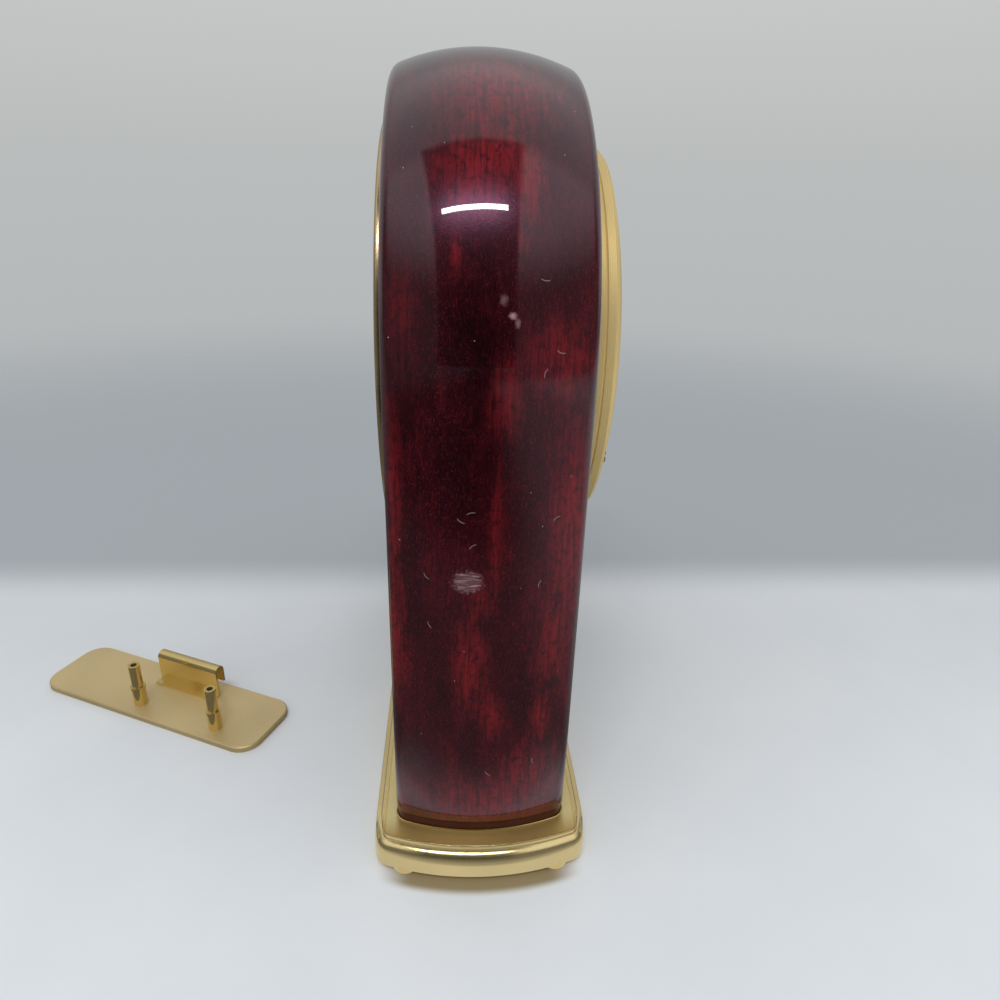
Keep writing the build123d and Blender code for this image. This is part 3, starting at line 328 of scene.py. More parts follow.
gilt = (0.84, 0.64, 0.26)
finishes = {
    "satin_gold": gold("satin_gold", (0.74, 0.55, 0.23), 0.42, 0.35, spots=0.5, metallic=0.6),
    "polished_gold": gold("polished_gold", gilt, 0.17, 0.015, grain_scale=1.2, spots=0.25, metallic=0.9),
    "roll_gold": gold("roll_gold", (0.84, 0.665, 0.325), 0.17, 0.015, grain_scale=1.2, spots=0.25,
                      metallic=0.9),
    "hatch_gold": gold("hatch_gold", (0.71, 0.55, 0.28), 0.40, 0.3, spots=0.8, metallic=0.5),
    "gold_screw": brushed("gold_screw", gilt, 0.25),
    "black_rubber": moulded("black_rubber", (0.02, 0.02, 0.02), 0.7),
    "dial_white": moulded("dial_white", (0.80, 0.77, 0.69), 0.4, 0.1),
    "hand_black": moulded("hand_black", (0.012, 0.012, 0.012), 0.3, 0.1),
    "moulded_black": moulded("moulded_black", (0.018, 0.018, 0.019), 0.5),
    "nylon_white": moulded("nylon_white", (0.72, 0.70, 0.62), 0.45, 0.1),
    "brass_plate": brushed("brass_plate", (0.75, 0.56, 0.26)),
    "steel": brushed("steel", (0.55, 0.55, 0.56)),
    "cell_steel": brushed("cell_steel", (0.68, 0.68, 0.69), 0.18),
    "contact_strip": brushed("contact_strip", (0.62, 0.61, 0.58), 0.28),
    "copper_wire": brushed("copper_wire", (0.62, 0.26, 0.12), 0.3, (3, 0.2, 0.2), 0.9),
    "board_green": moulded("board_green", (0.012, 0.11, 0.045), 0.3, 0.15),
    "foot_brown": moulded("foot_brown", (0.050, 0.0085, 0.005), 0.22, 0.05),
    "worn_line": gold("worn_line", gilt, 0.2, 0.4, grain_scale=2.2, spots=0.9),
    "lead_insulation": moulded("lead_insulation", (0.38, 0.016, 0.012), 0.4, 0.1),
}


def crystal_glass():
    material = new_material("crystal_glass", Base_Color=(0.97, 0.99, 0.99, 1), Roughness=0.0, IOR=1.5,
                            Transmission_Weight=1.0)
    dust = noise(material, place_vector(material), 2.2, 5, 0.7)
    wire(material, "Roughness", ramp(material, dust, [(0.62, 0.0), (0.8, 0.12)]))
    path = add(material, "ShaderNodeLightPath")
    passing = calc(material, "MAXIMUM", path.outputs["Is Shadow Ray"], path.outputs["Is Diffuse Ray"])
    clear = add(material, "ShaderNodeBsdfTransparent").outputs[0]
    glass = material.node_tree.nodes["Principled BSDF"].outputs[0]
    seen = mix_shader(material, passing, glass, clear)
    material.node_tree.links.new(seen, material.node_tree.nodes["Material Output"].inputs[0])
    return material


finishes["crystal_glass"] = crystal_glass()


def spot_mask(material, vector, centre, size, ragged=None, softness=0.35):
    """White inside a soft-edged patch at a place on the band, black outside."""
    offset = vector_calc(material, "SUBTRACT", vector, (*centre, 0))
    scaled = vector_calc(material, "MULTIPLY", offset, (1 / size[0], 1 / size[1], 0))
    reach = vector_length(material, scaled)
    if ragged:
        reach = calc(material, "ADD", reach, calc(material, "MULTIPLY_ADD", ragged, 1.6, -0.8))
    return ramp(material, reach, [(1.0 - softness, 1.0), (1.0, 0.0)])


# Places in the lacquer's ground: across and along the band, half sizes, all in millimetres, and strength
dark_clouds = (
    (-8.6, 86, 3.2, 9, 0.9), (-4.6, 51, 4.4, 14, 0.95), (-8.0, 42, 1.9, 12, 0.8),
    (5.2, 47, 2.2, 12, 0.75), (0.0, 70, 3.2, 4.5, 0.8), (-3.2, 63, 4.2, 8, 0.95),
    (-5.5, 31, 2.6, 9, 0.55), (8.3, 21.4, 2.0, 1.4, 0.95), (4.0, 20.5, 2.8, 3.4, 0.75),
    (-2.0, 12.5, 1.9, 3.8, 0.75), (-7.2, 10.5, 3.6, 5.5, 0.9), (6.5, 72, 4.2, 5.0, 0.6),
    (5.8, 29.5, 1.4, 5.5, 0.6), (9.2, 79, 2.6, 7, 0.5),
)
red_clouds = (
    (1.4, 57.6, 2.6, 5.6, 0.85), (0.9, 43, 1.0, 11, 0.6), (7.2, 61.5, 4.6, 4.6, 0.75),
    (-2.0, 25, 2.6, 8.5, 0.85), (0.8, 17.5, 2.0, 4.5, 0.75), (7.0, 16.5, 1.8, 4.8, 0.8),
    (-0.8, 81, 6.0, 7.0, 1.0), (3.6, 80, 1.5, 6.0, 1.0), (-3.5, 71.8, 0.8, 2.6, 0.7),
    (2.9, 73, 0.8, 1.8, 0.7), (-10.4, 48, 1.4, 12, 0.8), (1.0, 93, 9, 9, 0.9), (-9.0, 66, 2.2, 7, 0.5),
    (9.6, 42, 3.2, 17, 0.9), (7.8, 27, 3.4, 8, 0.7), (5.5, 8, 5.5, 6, 0.6), (-11.0, 30, 1.8, 14, 0.8),
    (1.0, 3, 12, 5.5, 0.75), (-5.0, 58, 0.7, 4.5, 0.5), (-0.9, 34.5, 2.0, 4.0, 0.5),
)
# Painted shade: patches in the middle of the band where the ground is darkened toward black
painted_shade_patches = ((-1.0, 64, 4.2, 9, 0.55), (-1.0, 52, 4.6, 10, 0.50), (-8.8, 60, 3.6, 17, 0.42))
bare_patches = ((2.0, 65.7, 0.50, 0.45, 0.9), (2.5, 65.0, 0.35, 0.55, 0.5), (1.1, 67.2, 0.50, 0.70, 0.3))
scuff_place = (-2.2, 36.4)
scuff_size = (1.9, 1.6)

# Short curved scratches: across and along the band, and their angle
hair_marks = (
    (7.0, 62.2, 0.3), (5.4, 60.2, 1.9), (7.6, 44.0, 2.6), (-6.6, 30.4, 1.1), (0.6, 8.3, 0.8),
    (6.4, 9.6, 1.4), (-3.0, 43.9, 0.6), (-1.9, 45.0, 2.9), (-1.7, 41.0, 2.5), (6.0, 35.9, 1.9),
    (-6.9, 36.8, 0.9), (5.2, 69.2, 0.1),
)

# Colours of the lacquer's ground and of what lies bare in it
cloud_red = (0.215, 0.0085, 0.0090)
cloud_dark = (0.016, 0.0022, 0.0032)
blotch_dark = (0.016, 0.0024, 0.0036)
streak_dark = (0.016, 0.0018, 0.0024)
hair_red = (0.230, 0.0120, 0.0140)
hair_dark = (0.015, 0.0020, 0.0026)
flake_pink = (0.22, 0.030, 0.045)
scuff_pink = (0.17, 0.085, 0.085)
scratch_pale = (0.50, 0.38, 0.36)
bare_pink = (0.42, 0.25, 0.25)
dust_pale = (0.60, 0.48, 0.46)


def lacquer():
    """Deep red lacquer over a marbled ground: clouds, streaks, a fine grain along the band, wear, and
    patches of painted shade.
    """
    material = new_material("red_lacquer", Specular_IOR_Level=0.42, Coat_Weight=1.0, Coat_Roughness=0.015,
                            Coat_IOR=1.5, Specular_Tint=(0.85, 0.42, 0.72, 1))
    band = add(material, "ShaderNodeUVMap", uv_map="band").outputs[0]

    def along(across, length, shift=(0, 0, 0)):
        return add(material, "ShaderNodeMapping",
                   {"Vector": band, "Scale": (across, length, 1), "Location": shift}).outputs[0]

    ragged = noise(material, along(0.9, 0.35, (4, 2, 0)), 1.0, 5, 0.7)
    clouds = noise(material, along(0.22, 0.07), 1.0, 4, 0.6)
    streaks = noise(material, along(2.4, 0.16, (1, 5, 0)), 1.0, 4, 0.65)
    hair = noise(material, along(9.0, 1.1, (3, 9, 0)), 1.0, 4, 0.75)
    blotches = noise(material, along(1.1, 0.9, (7, 3, 0)), 1.0, 3, 0.6)
    ground = ramp(material, clouds, [(0.36, (0.018, 0.0014, 0.0018)), (0.50, (0.040, 0.0018, 0.0026)),
                                     (0.62, (0.080, 0.0034, 0.0045)), (0.75, (0.140, 0.0065, 0.0080))])

    def clouded(ground, places, colour):
        for across, length, half_wide, half_long, strength in places:
            mask = spot_mask(material, band, (across, length), (half_wide, half_long), ragged, 0.85)
            ground = mix(material, times(material, mask, strength), ground, colour)
        return ground

    def grained(ground, factor, stops, colour):
        return mix(material, ramp(material, factor, stops), ground, colour)

    ground = clouded(ground, red_clouds, cloud_red)
    ground = clouded(ground, dark_clouds, cloud_dark)
    ground = grained(ground, blotches, [(0.36, 0.6), (0.50, 0.0)], blotch_dark)
    ground = grained(ground, streaks, [(0.36, 0.70), (0.58, 0.0)], streak_dark)
    ground = grained(ground, hair, [(0.50, 0.0), (0.74, 0.34)], hair_red)
    ground = grained(ground, hair, [(0.30, 0.32), (0.46, 0.0)], hair_dark)
    flakes = add(material, "ShaderNodeTexVoronoi", {"Vector": band, "Scale": 9.0})
    flake_tone = add(material, "ShaderNodeSeparateColor", {0: flakes.outputs["Color"]}).outputs[0]
    ground = grained(ground, flake_tone, [(0.92, 0.0), (1.0, 0.30)], flake_pink)
    # Painted shade darkens the ground in these patches
    ground = clouded(ground, painted_shade_patches, (0, 0, 0))
    grit = noise(material, along(2.5, 2.5, (8, 1, 0)), 1.0, 4, 0.7)
    bare = None
    for across, length, half_wide, half_long, strength in bare_patches:
        patch = spot_mask(material, band, (across, length), (half_wide, half_long), grit, 0.9)
        patch = times(material, patch, strength)
        bare = calc(material, "MAXIMUM", bare, patch) if bare else patch
    scuff = spot_mask(material, band, scuff_place, scuff_size, grit, 0.35)
    dust = add(material, "ShaderNodeTexVoronoi", {"Vector": band, "Scale": 0.55})
    dust_pick = add(material, "ShaderNodeSeparateColor", {0: dust.outputs["Color"]}).outputs[1]
    near_dust = ramp(material, dust.outputs["Distance"], [(0.028, 1.0), (0.045, 0.0)])
    dots = times(material, near_dust, ramp(material, dust_pick, [(0.52, 0.0), (0.54, 0.65)]))
    scratches = noise(material, along(0.5, 5.0, (6, 6, 0)), 1.0, 3, 0.5)
    fine_scratch = times(material, scuff, ramp(material, scratches, [(0.50, 0.0), (0.66, 0.6)]))
    for across, length, angle in hair_marks:
        local = add(material, "ShaderNodeMapping", {"Vector": band, "Location": (-across, -length, 0)})
        turned = add(material, "ShaderNodeVectorRotate", {"Vector": local.outputs[0], "Angle": angle},
                     rotation_type="Z_AXIS")
        axes = add(material, "ShaderNodeSeparateXYZ", {0: turned.outputs[0]})
        bow = times(material, times(material, axes.outputs[0], axes.outputs[0]), 0.55)
        away = calc(material, "ABSOLUTE", calc(material, "SUBTRACT", axes.outputs[1], bow))
        thin = ramp(material, away, [(0.022, 0.55), (0.045, 0.0)])
        ends = ramp(material, calc(material, "ABSOLUTE", axes.outputs[0]), [(0.40, 1.0), (0.52, 0.0)])
        fine_scratch = calc(material, "MAXIMUM", fine_scratch, times(material, thin, ends))
    ground = mix(material, times(material, scuff, 0.6), ground, scuff_pink)
    ground = mix(material, fine_scratch, ground, scratch_pale)
    ground = mix(material, bare, ground, bare_pink)
    ground = mix(material, dots, ground, dust_pale)
    wire(material, "Base Color", ground)
    worn = calc(material, "MAXIMUM", bare, dots)
    worn = calc(material, "MAXIMUM", worn, times(material, scuff, 0.7))
    wire(material, "Coat Weight", inverse(material, worn))
    wire(material, "Roughness", ramp(material, hair, [(0.3, 0.20), (0.7, 0.29)]))
    sparkle = bump(material, noise(material, along(5.0, 5.0, (2, 7, 0)), 1.0, 2), 0.35, 0.025)
    wire(material, "Normal", bump(material, hair, 0.12, 0.02, sparkle))
    swell = noise(material, along(0.3, 0.16), 1.0, 1)
    dent = calc(material, "SUBTRACT", swell, times(material, worn, 0.3))
    wire(material, "Coat Normal", bump(material, dent, 0.10, 0.05))
    return material


finishes["red_lacquer"] = lacquer()

for part in frame["record"]["subparts"]:
    node = nodes[part["node"]]
    node.data.materials.clear()
    node.data.materials.append(finishes[part["material_slot"]])
bezel_gold = gold("bezel_gold", (0.74, 0.56, 0.31), 0.22, 0.02, metallic=0.95)
nodes["front_bezel"].data.materials[0] = bezel_gold
cover_gold = turned_gold("cover_gold", (0.98, 0.73, 0.30), 0.5, arch_centre, 0.35)
nodes["back_cover"].data.materials[0] = cover_gold


# Mesh helpers

# Edges that bend by more than this many degrees stay sharp
sharp_angle = 38


def new_piece(name, mesh, body, slot, material=None, smooth=True):
    """A finished piece from a bmesh: it rides on its body and takes its slot's finish."""
    data = bpy.data.meshes.new(name)
    mesh.normal_update()
    mesh.to_mesh(data)
    mesh.free()
    for polygon in data.polygons:
        polygon.use_smooth = smooth
    piece = bpy.data.objects.new(name, data)
    scene.collection.objects.link(piece)
    data.materials.append(material or finishes[slot])
    if smooth:
        data.set_sharp_from_angle(angle=math.radians(sharp_angle))
        flat_wins = piece.modifiers.new("normals", "WEIGHTED_NORMAL")
        flat_wins.keep_sharp = True
        flat_wins.weight = 100
    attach(piece, body)
    return piece


def rounded_plan(half_depth, end_centre, end_radius, corner, corner_steps, end_steps):
    """Right half of a plan with a bowed end: points and outward normals, from front to back."""
    centre_x = end_centre + math.sqrt((end_radius - corner) ** 2 - (half_depth - corner) ** 2)
    centre_y = half_depth - corner
    tangent = math.atan2(centre_y, centre_x - end_centre)
    rows = []
    for number in range(corner_steps + 1):
        angle = -math.pi / 2 + (math.pi / 2 - tangent) * number / corner_steps
        rows.append((centre_x + corner * math.cos(angle), -centre_y + corner * math.sin(angle),
                     math.cos(angle), math.sin(angle)))
    for number in range(1, end_steps):
        angle = -tangent + 2 * tangent * number / end_steps
        rows.append((end_centre + end_radius * math.cos(angle), end_radius * math.sin(angle),
                     math.cos(angle), math.sin(angle)))
    back = [(x, -y, nx, -ny) for x, y, nx, ny in reversed(rows[:corner_steps + 1])]
    return rows + back


def grid(mesh, rows, closed_columns=False, flip=False):
    """Quads between neighbouring rows of vertices."""
    for lower, upper in zip(rows, rows[1:]):
        column_count = len(lower) if closed_columns else len(lower) - 1
        for column in range(column_count):
            after = (column + 1) % len(lower)
            corners = [lower[column], lower[after], upper[after], upper[column]]
            if flip:
                corners.reverse()
            mesh.faces.new(corners)


# Lacquered case

def case_piece():
    """The arch: its crowned band drawn up the legs and round the top, with flat pierced faces."""
    end_radius = (case_half_depth ** 2 + crown_sag ** 2) / (2 * crown_sag)
    band = rounded_plan(case_half_depth, arch_reach - end_radius, end_radius, case_edge_round, 10, 36)
    leg_steps, arc_steps, foot_steps = 24, 120, 40
    stations = []
    for number in range(leg_steps):
        stations.append(("right", case_foot + (arch_centre - case_foot) * number / leg_steps))
    for number in range(arc_steps + 1):
        stations.append(("arc", math.pi * number / arc_steps))
    for number in range(leg_steps - 1, -1, -1):
        stations.append(("left", case_foot + (arch_centre - case_foot) * number / leg_steps))
    start_length = arch_centre - case_foot

    def at(station, x, y):
        kind, value = station
        if kind == "right":
            return (x, y, value)
        if kind == "left":
            return (-x, y, value)
        return (x * math.cos(value), y, arch_centre + x * math.sin(value))

    def length(station):
        kind, value = station
        if kind == "right":
            return value - case_foot
        if kind == "left":
            return start_length + math.pi * arch_reach + arch_centre - value
        return start_length + value * arch_reach

    mesh = bmesh.new()
    uv = mesh.loops.layers.uv.new("band")
    place = {}

    def vertex(point, across, along):
        made = mesh.verts.new(point)
        place[made] = (across / mm, along / mm)
        return made

    girth = [0.0]
    for before, after in zip(band, band[1:]):
        girth.append(girth[-1] + math.hypot(after[0] - before[0], after[1] - before[1]))
    middle = girth[-1] / 2
    skin = [[vertex(at(station, x, y), across - middle, length(station))
             for (x, y, _, _), across in zip(band, girth)] for station in stations]
    grid(mesh, skin)
    edge_x = band[0][0]
    for column, side, opening in ((0, -1, front_opening), (-1, 1, back_opening)):
        outer = [row[column] for row in skin]
        foot = []
        for number in range(1, foot_steps):
            x = -edge_x + 2 * edge_x * number / foot_steps
            across = side * (middle + edge_x - abs(x))
            foot.append(vertex((x, side * case_half_depth, case_foot), across, 0.0))
        outer = outer + foot
        inner, lip = [], []
        for made in outer:
            across, along = place[made]
            direction = Vector((made.co.x, 0, made.co.z - arch_centre)).normalized()
            gap = math.hypot(made.co.x, made.co.z - arch_centre) - opening
            point = Vector((0, side * case_half_depth, arch_centre)) + direction * opening
            inner.append(vertex(point, (across + side * gap / mm) * mm, along * mm))
            deeper = point - Vector((0, side * face_wall, 0))
            lip.append(vertex(deeper, (across + side * (gap + face_wall) / mm) * mm, along * mm))
        grid(mesh, [outer, inner, lip], closed_columns=True, flip=side < 0)
    for face in mesh.faces:
        for loop in face.loops:
            loop[uv].uv = place[loop.vert]
    bmesh.ops.recalc_face_normals(mesh, faces=mesh.faces)
    piece = new_piece("lacquered_arch", mesh, "case", "red_lacquer")
    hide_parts("case_shell")


case_piece()


# Base plate and the band under the case

def closed_plan(half_depth, end_centre, end_radius, corner, corner_steps=8, end_steps=28, side_steps=48):
    """Whole plan with both bowed ends: points and outward normals, once round."""
    right = rounded_plan(half_depth, end_centre, end_radius, corner, corner_steps, end_steps)
    left = [(-x, -y, -nx, -ny) for x, y, nx, ny in right]
    reach = right[0][0]
    loop = list(right)
    loop += [(reach - 2 * reach * n / side_steps, half_depth, 0, 1) for n in range(1, side_steps)]
    loop += left
    loop += [(-reach + 2 * reach * n / side_steps, -half_depth, 0, -1) for n in range(1, side_steps)]
    return loop


def swept(mesh, plan, profile):
    """Rows of vertices for a profile of (outward, height) carried round a plan."""
    rows = []
    for outward, height in profile:
        rows.append([mesh.verts.new((x + nx * outward * mm, y + ny * outward * mm, height * mm))
                     for x, y, nx, ny in plan])
    grid(mesh, rows, closed_columns=True)
    return rows


def swept_base(mesh, plan, end_profile, side_profile):
    """Like swept, with one profile at the bowed ends that turns into another on the straight sides."""
    rows = []
    for (end_outward, end_height), (side_outward, side_height) in zip(end_profile, side_profile):
        row = []
        for x, y, nx, ny in plan:
            share = min(1.0, max(0.0, (abs(x) - blend_start) / (blend_end - blend_start)))
            share = share * share * (3 - 2 * share)
            outward = (side_outward + (end_outward - side_outward) * share) * mm
            height = (side_height + (end_height - side_height) * share) * mm
            row.append(mesh.verts.new((x + nx * outward, y + ny * outward, height)))
        rows.append(row)
    grid(mesh, rows, closed_columns=True)


def rounded_rectangle(half_x, half_y, corner, height, steps=6):
    points = []
    for quarter, (sx, sy) in enumerate(((1, 1), (-1, 1), (-1, -1), (1, -1))):
        for number in range(steps + 1):
            angle = math.pi / 2 * (quarter + number / steps)
            points.append(((sx * (half_x - corner) + corner * math.cos(angle)) * mm,
                           (sy * (half_y - corner) + corner * math.sin(angle)) * mm, height * mm))
    return points


def fill_between(mesh, outer, inner):
    """Flat faces between two loops of vertices at one height."""
    edges = []
    for loop in (outer, inner):
        for first, second in zip(loop, loop[1:] + loop[:1]):
            edges.append(mesh.edges.get((first, second)) or mesh.edges.new((first, second)))
    bmesh.ops.triangle_fill(mesh, edges=edges, use_beauty=True)


def base_plan():
    """Path that the plate's deck and edge follow, a roll's width inside the outer edge."""
    return closed_plan(base_half_depth - roll_width, base_reach - base_end_radius,
                       base_end_radius - roll_width, path_corner)


def base_deck():
    """Flat top with its fine line, and the battery mouth with the hatch's seat below it."""
    plan = base_plan()
    deck_profile = [(-0.20, plate_top), (-0.17, plate_top), (-0.13, plate_top - 0.07),
                    (-0.09, plate_top - 0.12), (-0.05, plate_top - 0.07), (-0.01, plate_top)]
    mesh = bmesh.new()
    rows = swept(mesh, plan, deck_profile)
    mouth_top = [mesh.verts.new(p) for p in rounded_rectangle(*mouth_plan, plate_top)]
    fill_between(mesh, rows[0], mouth_top)
    mouth_low = [mesh.verts.new(p) for p in rounded_rectangle(*mouth_plan, seat_height)]
    seat_high = [mesh.verts.new(p) for p in rounded_rectangle(*seat_plan, seat_height)]
    seat_low = [mesh.verts.new(p) for p in rounded_rectangle(*seat_plan, plate_foot)]
    grid(mesh, [mouth_top, mouth_low, seat_high, seat_low], closed_columns=True)
    rim = [mesh.verts.new((x, y, plate_foot * mm)) for x, y, _, _ in plan]
    fill_between(mesh, rim, seat_low)
    bmesh.ops.recalc_face_normals(mesh, faces=mesh.faces)
    deck = new_piece("base_deck", mesh, "case", "satin_gold", deck_gold())
    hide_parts("base_plate")


def base_roll():
    """Edge of the plate: step, shoulder, round and upright wall at the ends, plain along the sides."""
    end_profile = [(-0.01, plate_top), (0.015, plate_top - 0.01), (0.04, plate_top - 0.05),
                   (0.06, plate_top - 0.14), (0.07, plate_top - 0.3), (0.08, plate_top - 0.5),
                   (0.085, plate_top - 0.64), (0.10, plate_top - 0.71)]
    outward, height = end_profile[-1]
    lean = roll_first_lean
    for run, next_lean in roll_bends:
        for number in range(bend_steps):
            facing = math.radians(lean + (next_lean - lean) * (number + 0.5) / bend_steps)
            outward += run / bend_steps * math.sin(facing)
            height -= run / bend_steps * math.cos(facing)
            end_profile.append((outward, height))
        lean = next_lean
    for number in range(bend_steps + 1):
        angle = math.radians(-90 * number / bend_steps)
        end_profile.append((outward - roll_corner + roll_corner * math.cos(angle),
                            roll_foot + roll_corner + roll_corner * math.sin(angle)))
    end_profile += [(0.0, roll_foot), (-0.02, plate_foot)]
    side_profile = [(-0.01, plate_top), (0.10, plate_top), (0.20, plate_top), (0.30, plate_top),
                    (0.40, plate_top), (0.48, plate_top), (0.52, plate_top - 0.03), (0.56, plate_top)]
    flat_start, flat_steps = side_profile[-1][0], 24
    flat_run = outward - side_corner - flat_start
    side_profile += [(flat_start + flat_run * number / flat_steps, plate_top)
                     for number in range(1, flat_steps + 1)]
    for number in range(1, bend_steps + 1):
        angle = math.radians(90 - 90 * number / bend_steps)
        side_profile.append((outward - side_corner + side_corner * math.cos(angle),
                             plate_top - side_corner + side_corner * math.sin(angle)))
    side_profile += end_profile[len(side_profile):]
    mesh = bmesh.new()
    swept_base(mesh, base_plan(), end_profile, side_profile)
    bmesh.ops.recalc_face_normals(mesh, faces=mesh.faces)
    new_piece("base_roll", mesh, "case", "polished_gold", finishes["roll_gold"])


base_deck()
base_roll()


def foot_pads():
    """Four round pads under the plate that reach out to its ends."""
    mesh = bmesh.new()
    profile = [(1.45, 0.0), (1.58, 0.03), (1.67, 0.12), (1.70, 0.25), (1.70, plate_foot)]
    for side_x in (-1, 1):
        for side_y in (-1, 1):
            rows = []
            for radius, height in profile:
                ring = []
                for number in range(pad_steps):
                    angle = 2 * math.pi * number / pad_steps
                    x = side_x * pad_reach + radius * mm * math.cos(angle)
                    y = side_y * pad_side + radius * mm * math.sin(angle)
                    ring.append(mesh.verts.new((x, y, height * mm)))
                rows.append(ring)
            grid(mesh, rows, closed_columns=True)
            mesh.faces.new(rows[0])
            mesh.faces.new(rows[-1])
    bmesh.ops.recalc_face_normals(mesh, faces=mesh.faces)
    pads = new_piece("foot_pads", mesh, "case", "polished_gold")
    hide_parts("base_feet")


foot_pads()


def foot_pieces():
    """Dark band that shows under the case, with a thin gilt line along its foot."""
    inset = 0.3 * mm
    line_radius, line_steps = 0.12, 8
    end_radius = (case_half_depth ** 2 + crown_sag ** 2) / (2 * crown_sag)
    plan = closed_plan(case_half_depth - inset, arch_reach - end_radius, end_radius - inset, 1.7 * mm)
    band_profile = [(-2.0, band_top), (-0.35, band_top), (-0.02, 6.60), (0.05, 6.2), (0.10, 5.7),
                    (0.16, plate_top)]
    mesh = bmesh.new()
    swept(mesh, plan, band_profile)
    bmesh.ops.recalc_face_normals(mesh, faces=mesh.faces)
    band = new_piece("foot_band", mesh, "case", "red_lacquer", finishes["foot_brown"])
    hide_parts("foot_collar")
    ring = []
    for number in range(line_steps):
        angle = 2 * math.pi * number / line_steps
        ring.append((0.30 + line_radius * math.cos(angle), 5.22 + line_radius * math.sin(angle)))
    mesh = bmesh.new()
    swept(mesh, plan, ring + ring[:1])
    bmesh.ops.remove_doubles(mesh, verts=mesh.verts, dist=0.001 * mm)
    bmesh.ops.recalc_face_normals(mesh, faces=mesh.faces)
    new_piece("foot_line", mesh, "case", "polished_gold", finishes["worn_line"])


foot_pieces()


# Dial print

def dial_print():
    """Plain numerals and a minute track on the dial."""
    mesh = bmesh.new()
    lift = 0.01 * mm
    thickness = 0.02 * mm
    facing = Matrix.Translation((0, dial_front - lift, arch_centre)) @ Matrix.Rotation(math.pi / 2, 4, "X")
    for minute in range(60):
        wide, long = (0.22, 0.55) if minute % 5 == 0 else (0.10, 0.40)
        turn = Matrix.Rotation(-math.radians(6 * minute), 4, "Z")
        out = Matrix.Translation((0, (track_radius - long / 2) * mm, 0))
        size = Matrix.Diagonal((wide * mm, long * mm, thickness, 1))
        bmesh.ops.create_cube(mesh, size=1, matrix=facing @ turn @ out @ size)
    for hour in range(1, 13):
        words = bpy.data.curves.new("numeral", "FONT")
        words.body = str(hour)
        words.size = numeral_size * mm
        words.extrude = thickness / 2
        words.align_x = "CENTER"
        words.align_y = "CENTER"
        holder = bpy.data.objects.new("numeral", words)
        scene.collection.objects.link(holder)
        drawn = bpy.data.meshes.new_from_object(holder)
        bpy.data.objects.remove(holder)
        angle = math.radians(90 - 30 * hour)
        out = numeral_radius * mm
        spot = Matrix.Translation((out * math.cos(angle), out * math.sin(angle), 0))
        drawn.transform(facing @ spot)
        mesh.from_mesh(drawn)
        bpy.data.meshes.remove(drawn)
    new_piece("dial_print", mesh, "case", "hand_black", smooth=False)


dial_print()


# Floor, light and background

# How far the floor reaches each way, in metres
floor_reach = 3.0

# Colours of the floor: pale paper, the grey behind it, and the tan of a painted shadow with painted gold
# reflection where the base meets the paper
paper_deep = (0.815, 0.84, 0.865)
paper_pale = (0.855, 0.875, 0.89)
far_grey = (0.495, 0.52, 0.545)
painted_shadow_tan = (0.295, 0.222, 0.105)

# Where the floor's tones change, in metres: between the two places each goes over into the next
grey_places = (0.030, 0.050)
# Painted shade: the floor behind the clock darkens a little, standing for the clock's shadow
painted_floor_shade_places = (-0.05, 0.03)
# Painted shadow with painted gold reflection at the base's near end: reach from the end's centre, width to
# the side, and where it starts
painted_shadow_reach = (0.0376, 0.0390)
painted_shadow_side = (0.009, 0.0140)
painted_shadow_start = (0.026, 0.032)


def floor_tone(material, where, x, y):
    """Pale paper that turns grey behind the clock, with a little painted shade there, and a tan painted
    shadow with painted gold reflection at the base's near end.
    """
    depth = times(material, x, -1.0)
    wall = smooth_step(material, depth, *grey_places)
    smudge = noise(material, where, 30.0, 5, 0.6)
    white = ramp(material, smudge, [(0.35, paper_deep), (0.65, paper_pale)])
    tone = mix(material, wall, white, far_grey)
    # Painted shade behind the clock: the tone darkens a little toward black
    painted_floor_shade = times(material, smooth_step(material, depth, *painted_floor_shade_places), 0.16)
    tone = mix(material, painted_floor_shade, tone, (0, 0, 0))
    # Painted shadow and gold reflection on the paper at the base's near end
    from_end = vector_calc(material, "SUBTRACT", where, (base_reach - base_end_radius, 0, 0))
    painted_shadow = inverse(material, smooth_step(material, vector_length(material, from_end), *painted_shadow_reach))
    aside = calc(material, "ABSOLUTE", y)
    painted_shadow = times(material, painted_shadow, inverse(material, smooth_step(material, aside, *painted_shadow_side)))
    painted_shadow = times(material, painted_shadow, smooth_step(material, x, *painted_shadow_start))
    return mix(material, times(material, painted_shadow, 0.95), tone, painted_shadow_tan)


def floor_level(material, x, y, flat):
    """How bright mirrors see the floor: lit close to the clock and to the right, dark under who looks."""
    aside = calc(material, "ABSOLUTE", y)
    near_end = smooth_step(material, x, 0.043, 0.055)
    near = calc(material, "SUBTRACT", smooth_step(material, x, 0.010, 0.036), near_end)
    near = times(material, near, inverse(material, smooth_step(material, aside, 0.018, 0.030)))
    middle = inverse(material, smooth_step(material, x, 0.095, 0.140))
    right_start = smooth_step(material, y, 0.012, 0.080)
    right = calc(material, "MULTIPLY_ADD", smooth_step(material, y, 0.12, 0.22), 0.7, right_start)
    right = times(material, right, inverse(material, smooth_step(material, flat, 0.15, 0.8)))
    sides = smooth_step(material, aside, 0.05, 0.35)
    rim = times(material, near, inverse(material, smooth_step(material, x, 0.0415, 0.0452)))
    middle = calc(material, "MULTIPLY_ADD", rim, 3.5, middle)
    level = calc(material, "MULTIPLY_ADD", middle, 0.085, 0.006)
    level = calc(material, "MULTIPLY_ADD", near, 0.26, level)
    level = calc(material, "MULTIPLY_ADD", sides, 0.11, level)
    return calc(material, "MULTIPLY_ADD", right, 0.26, level)


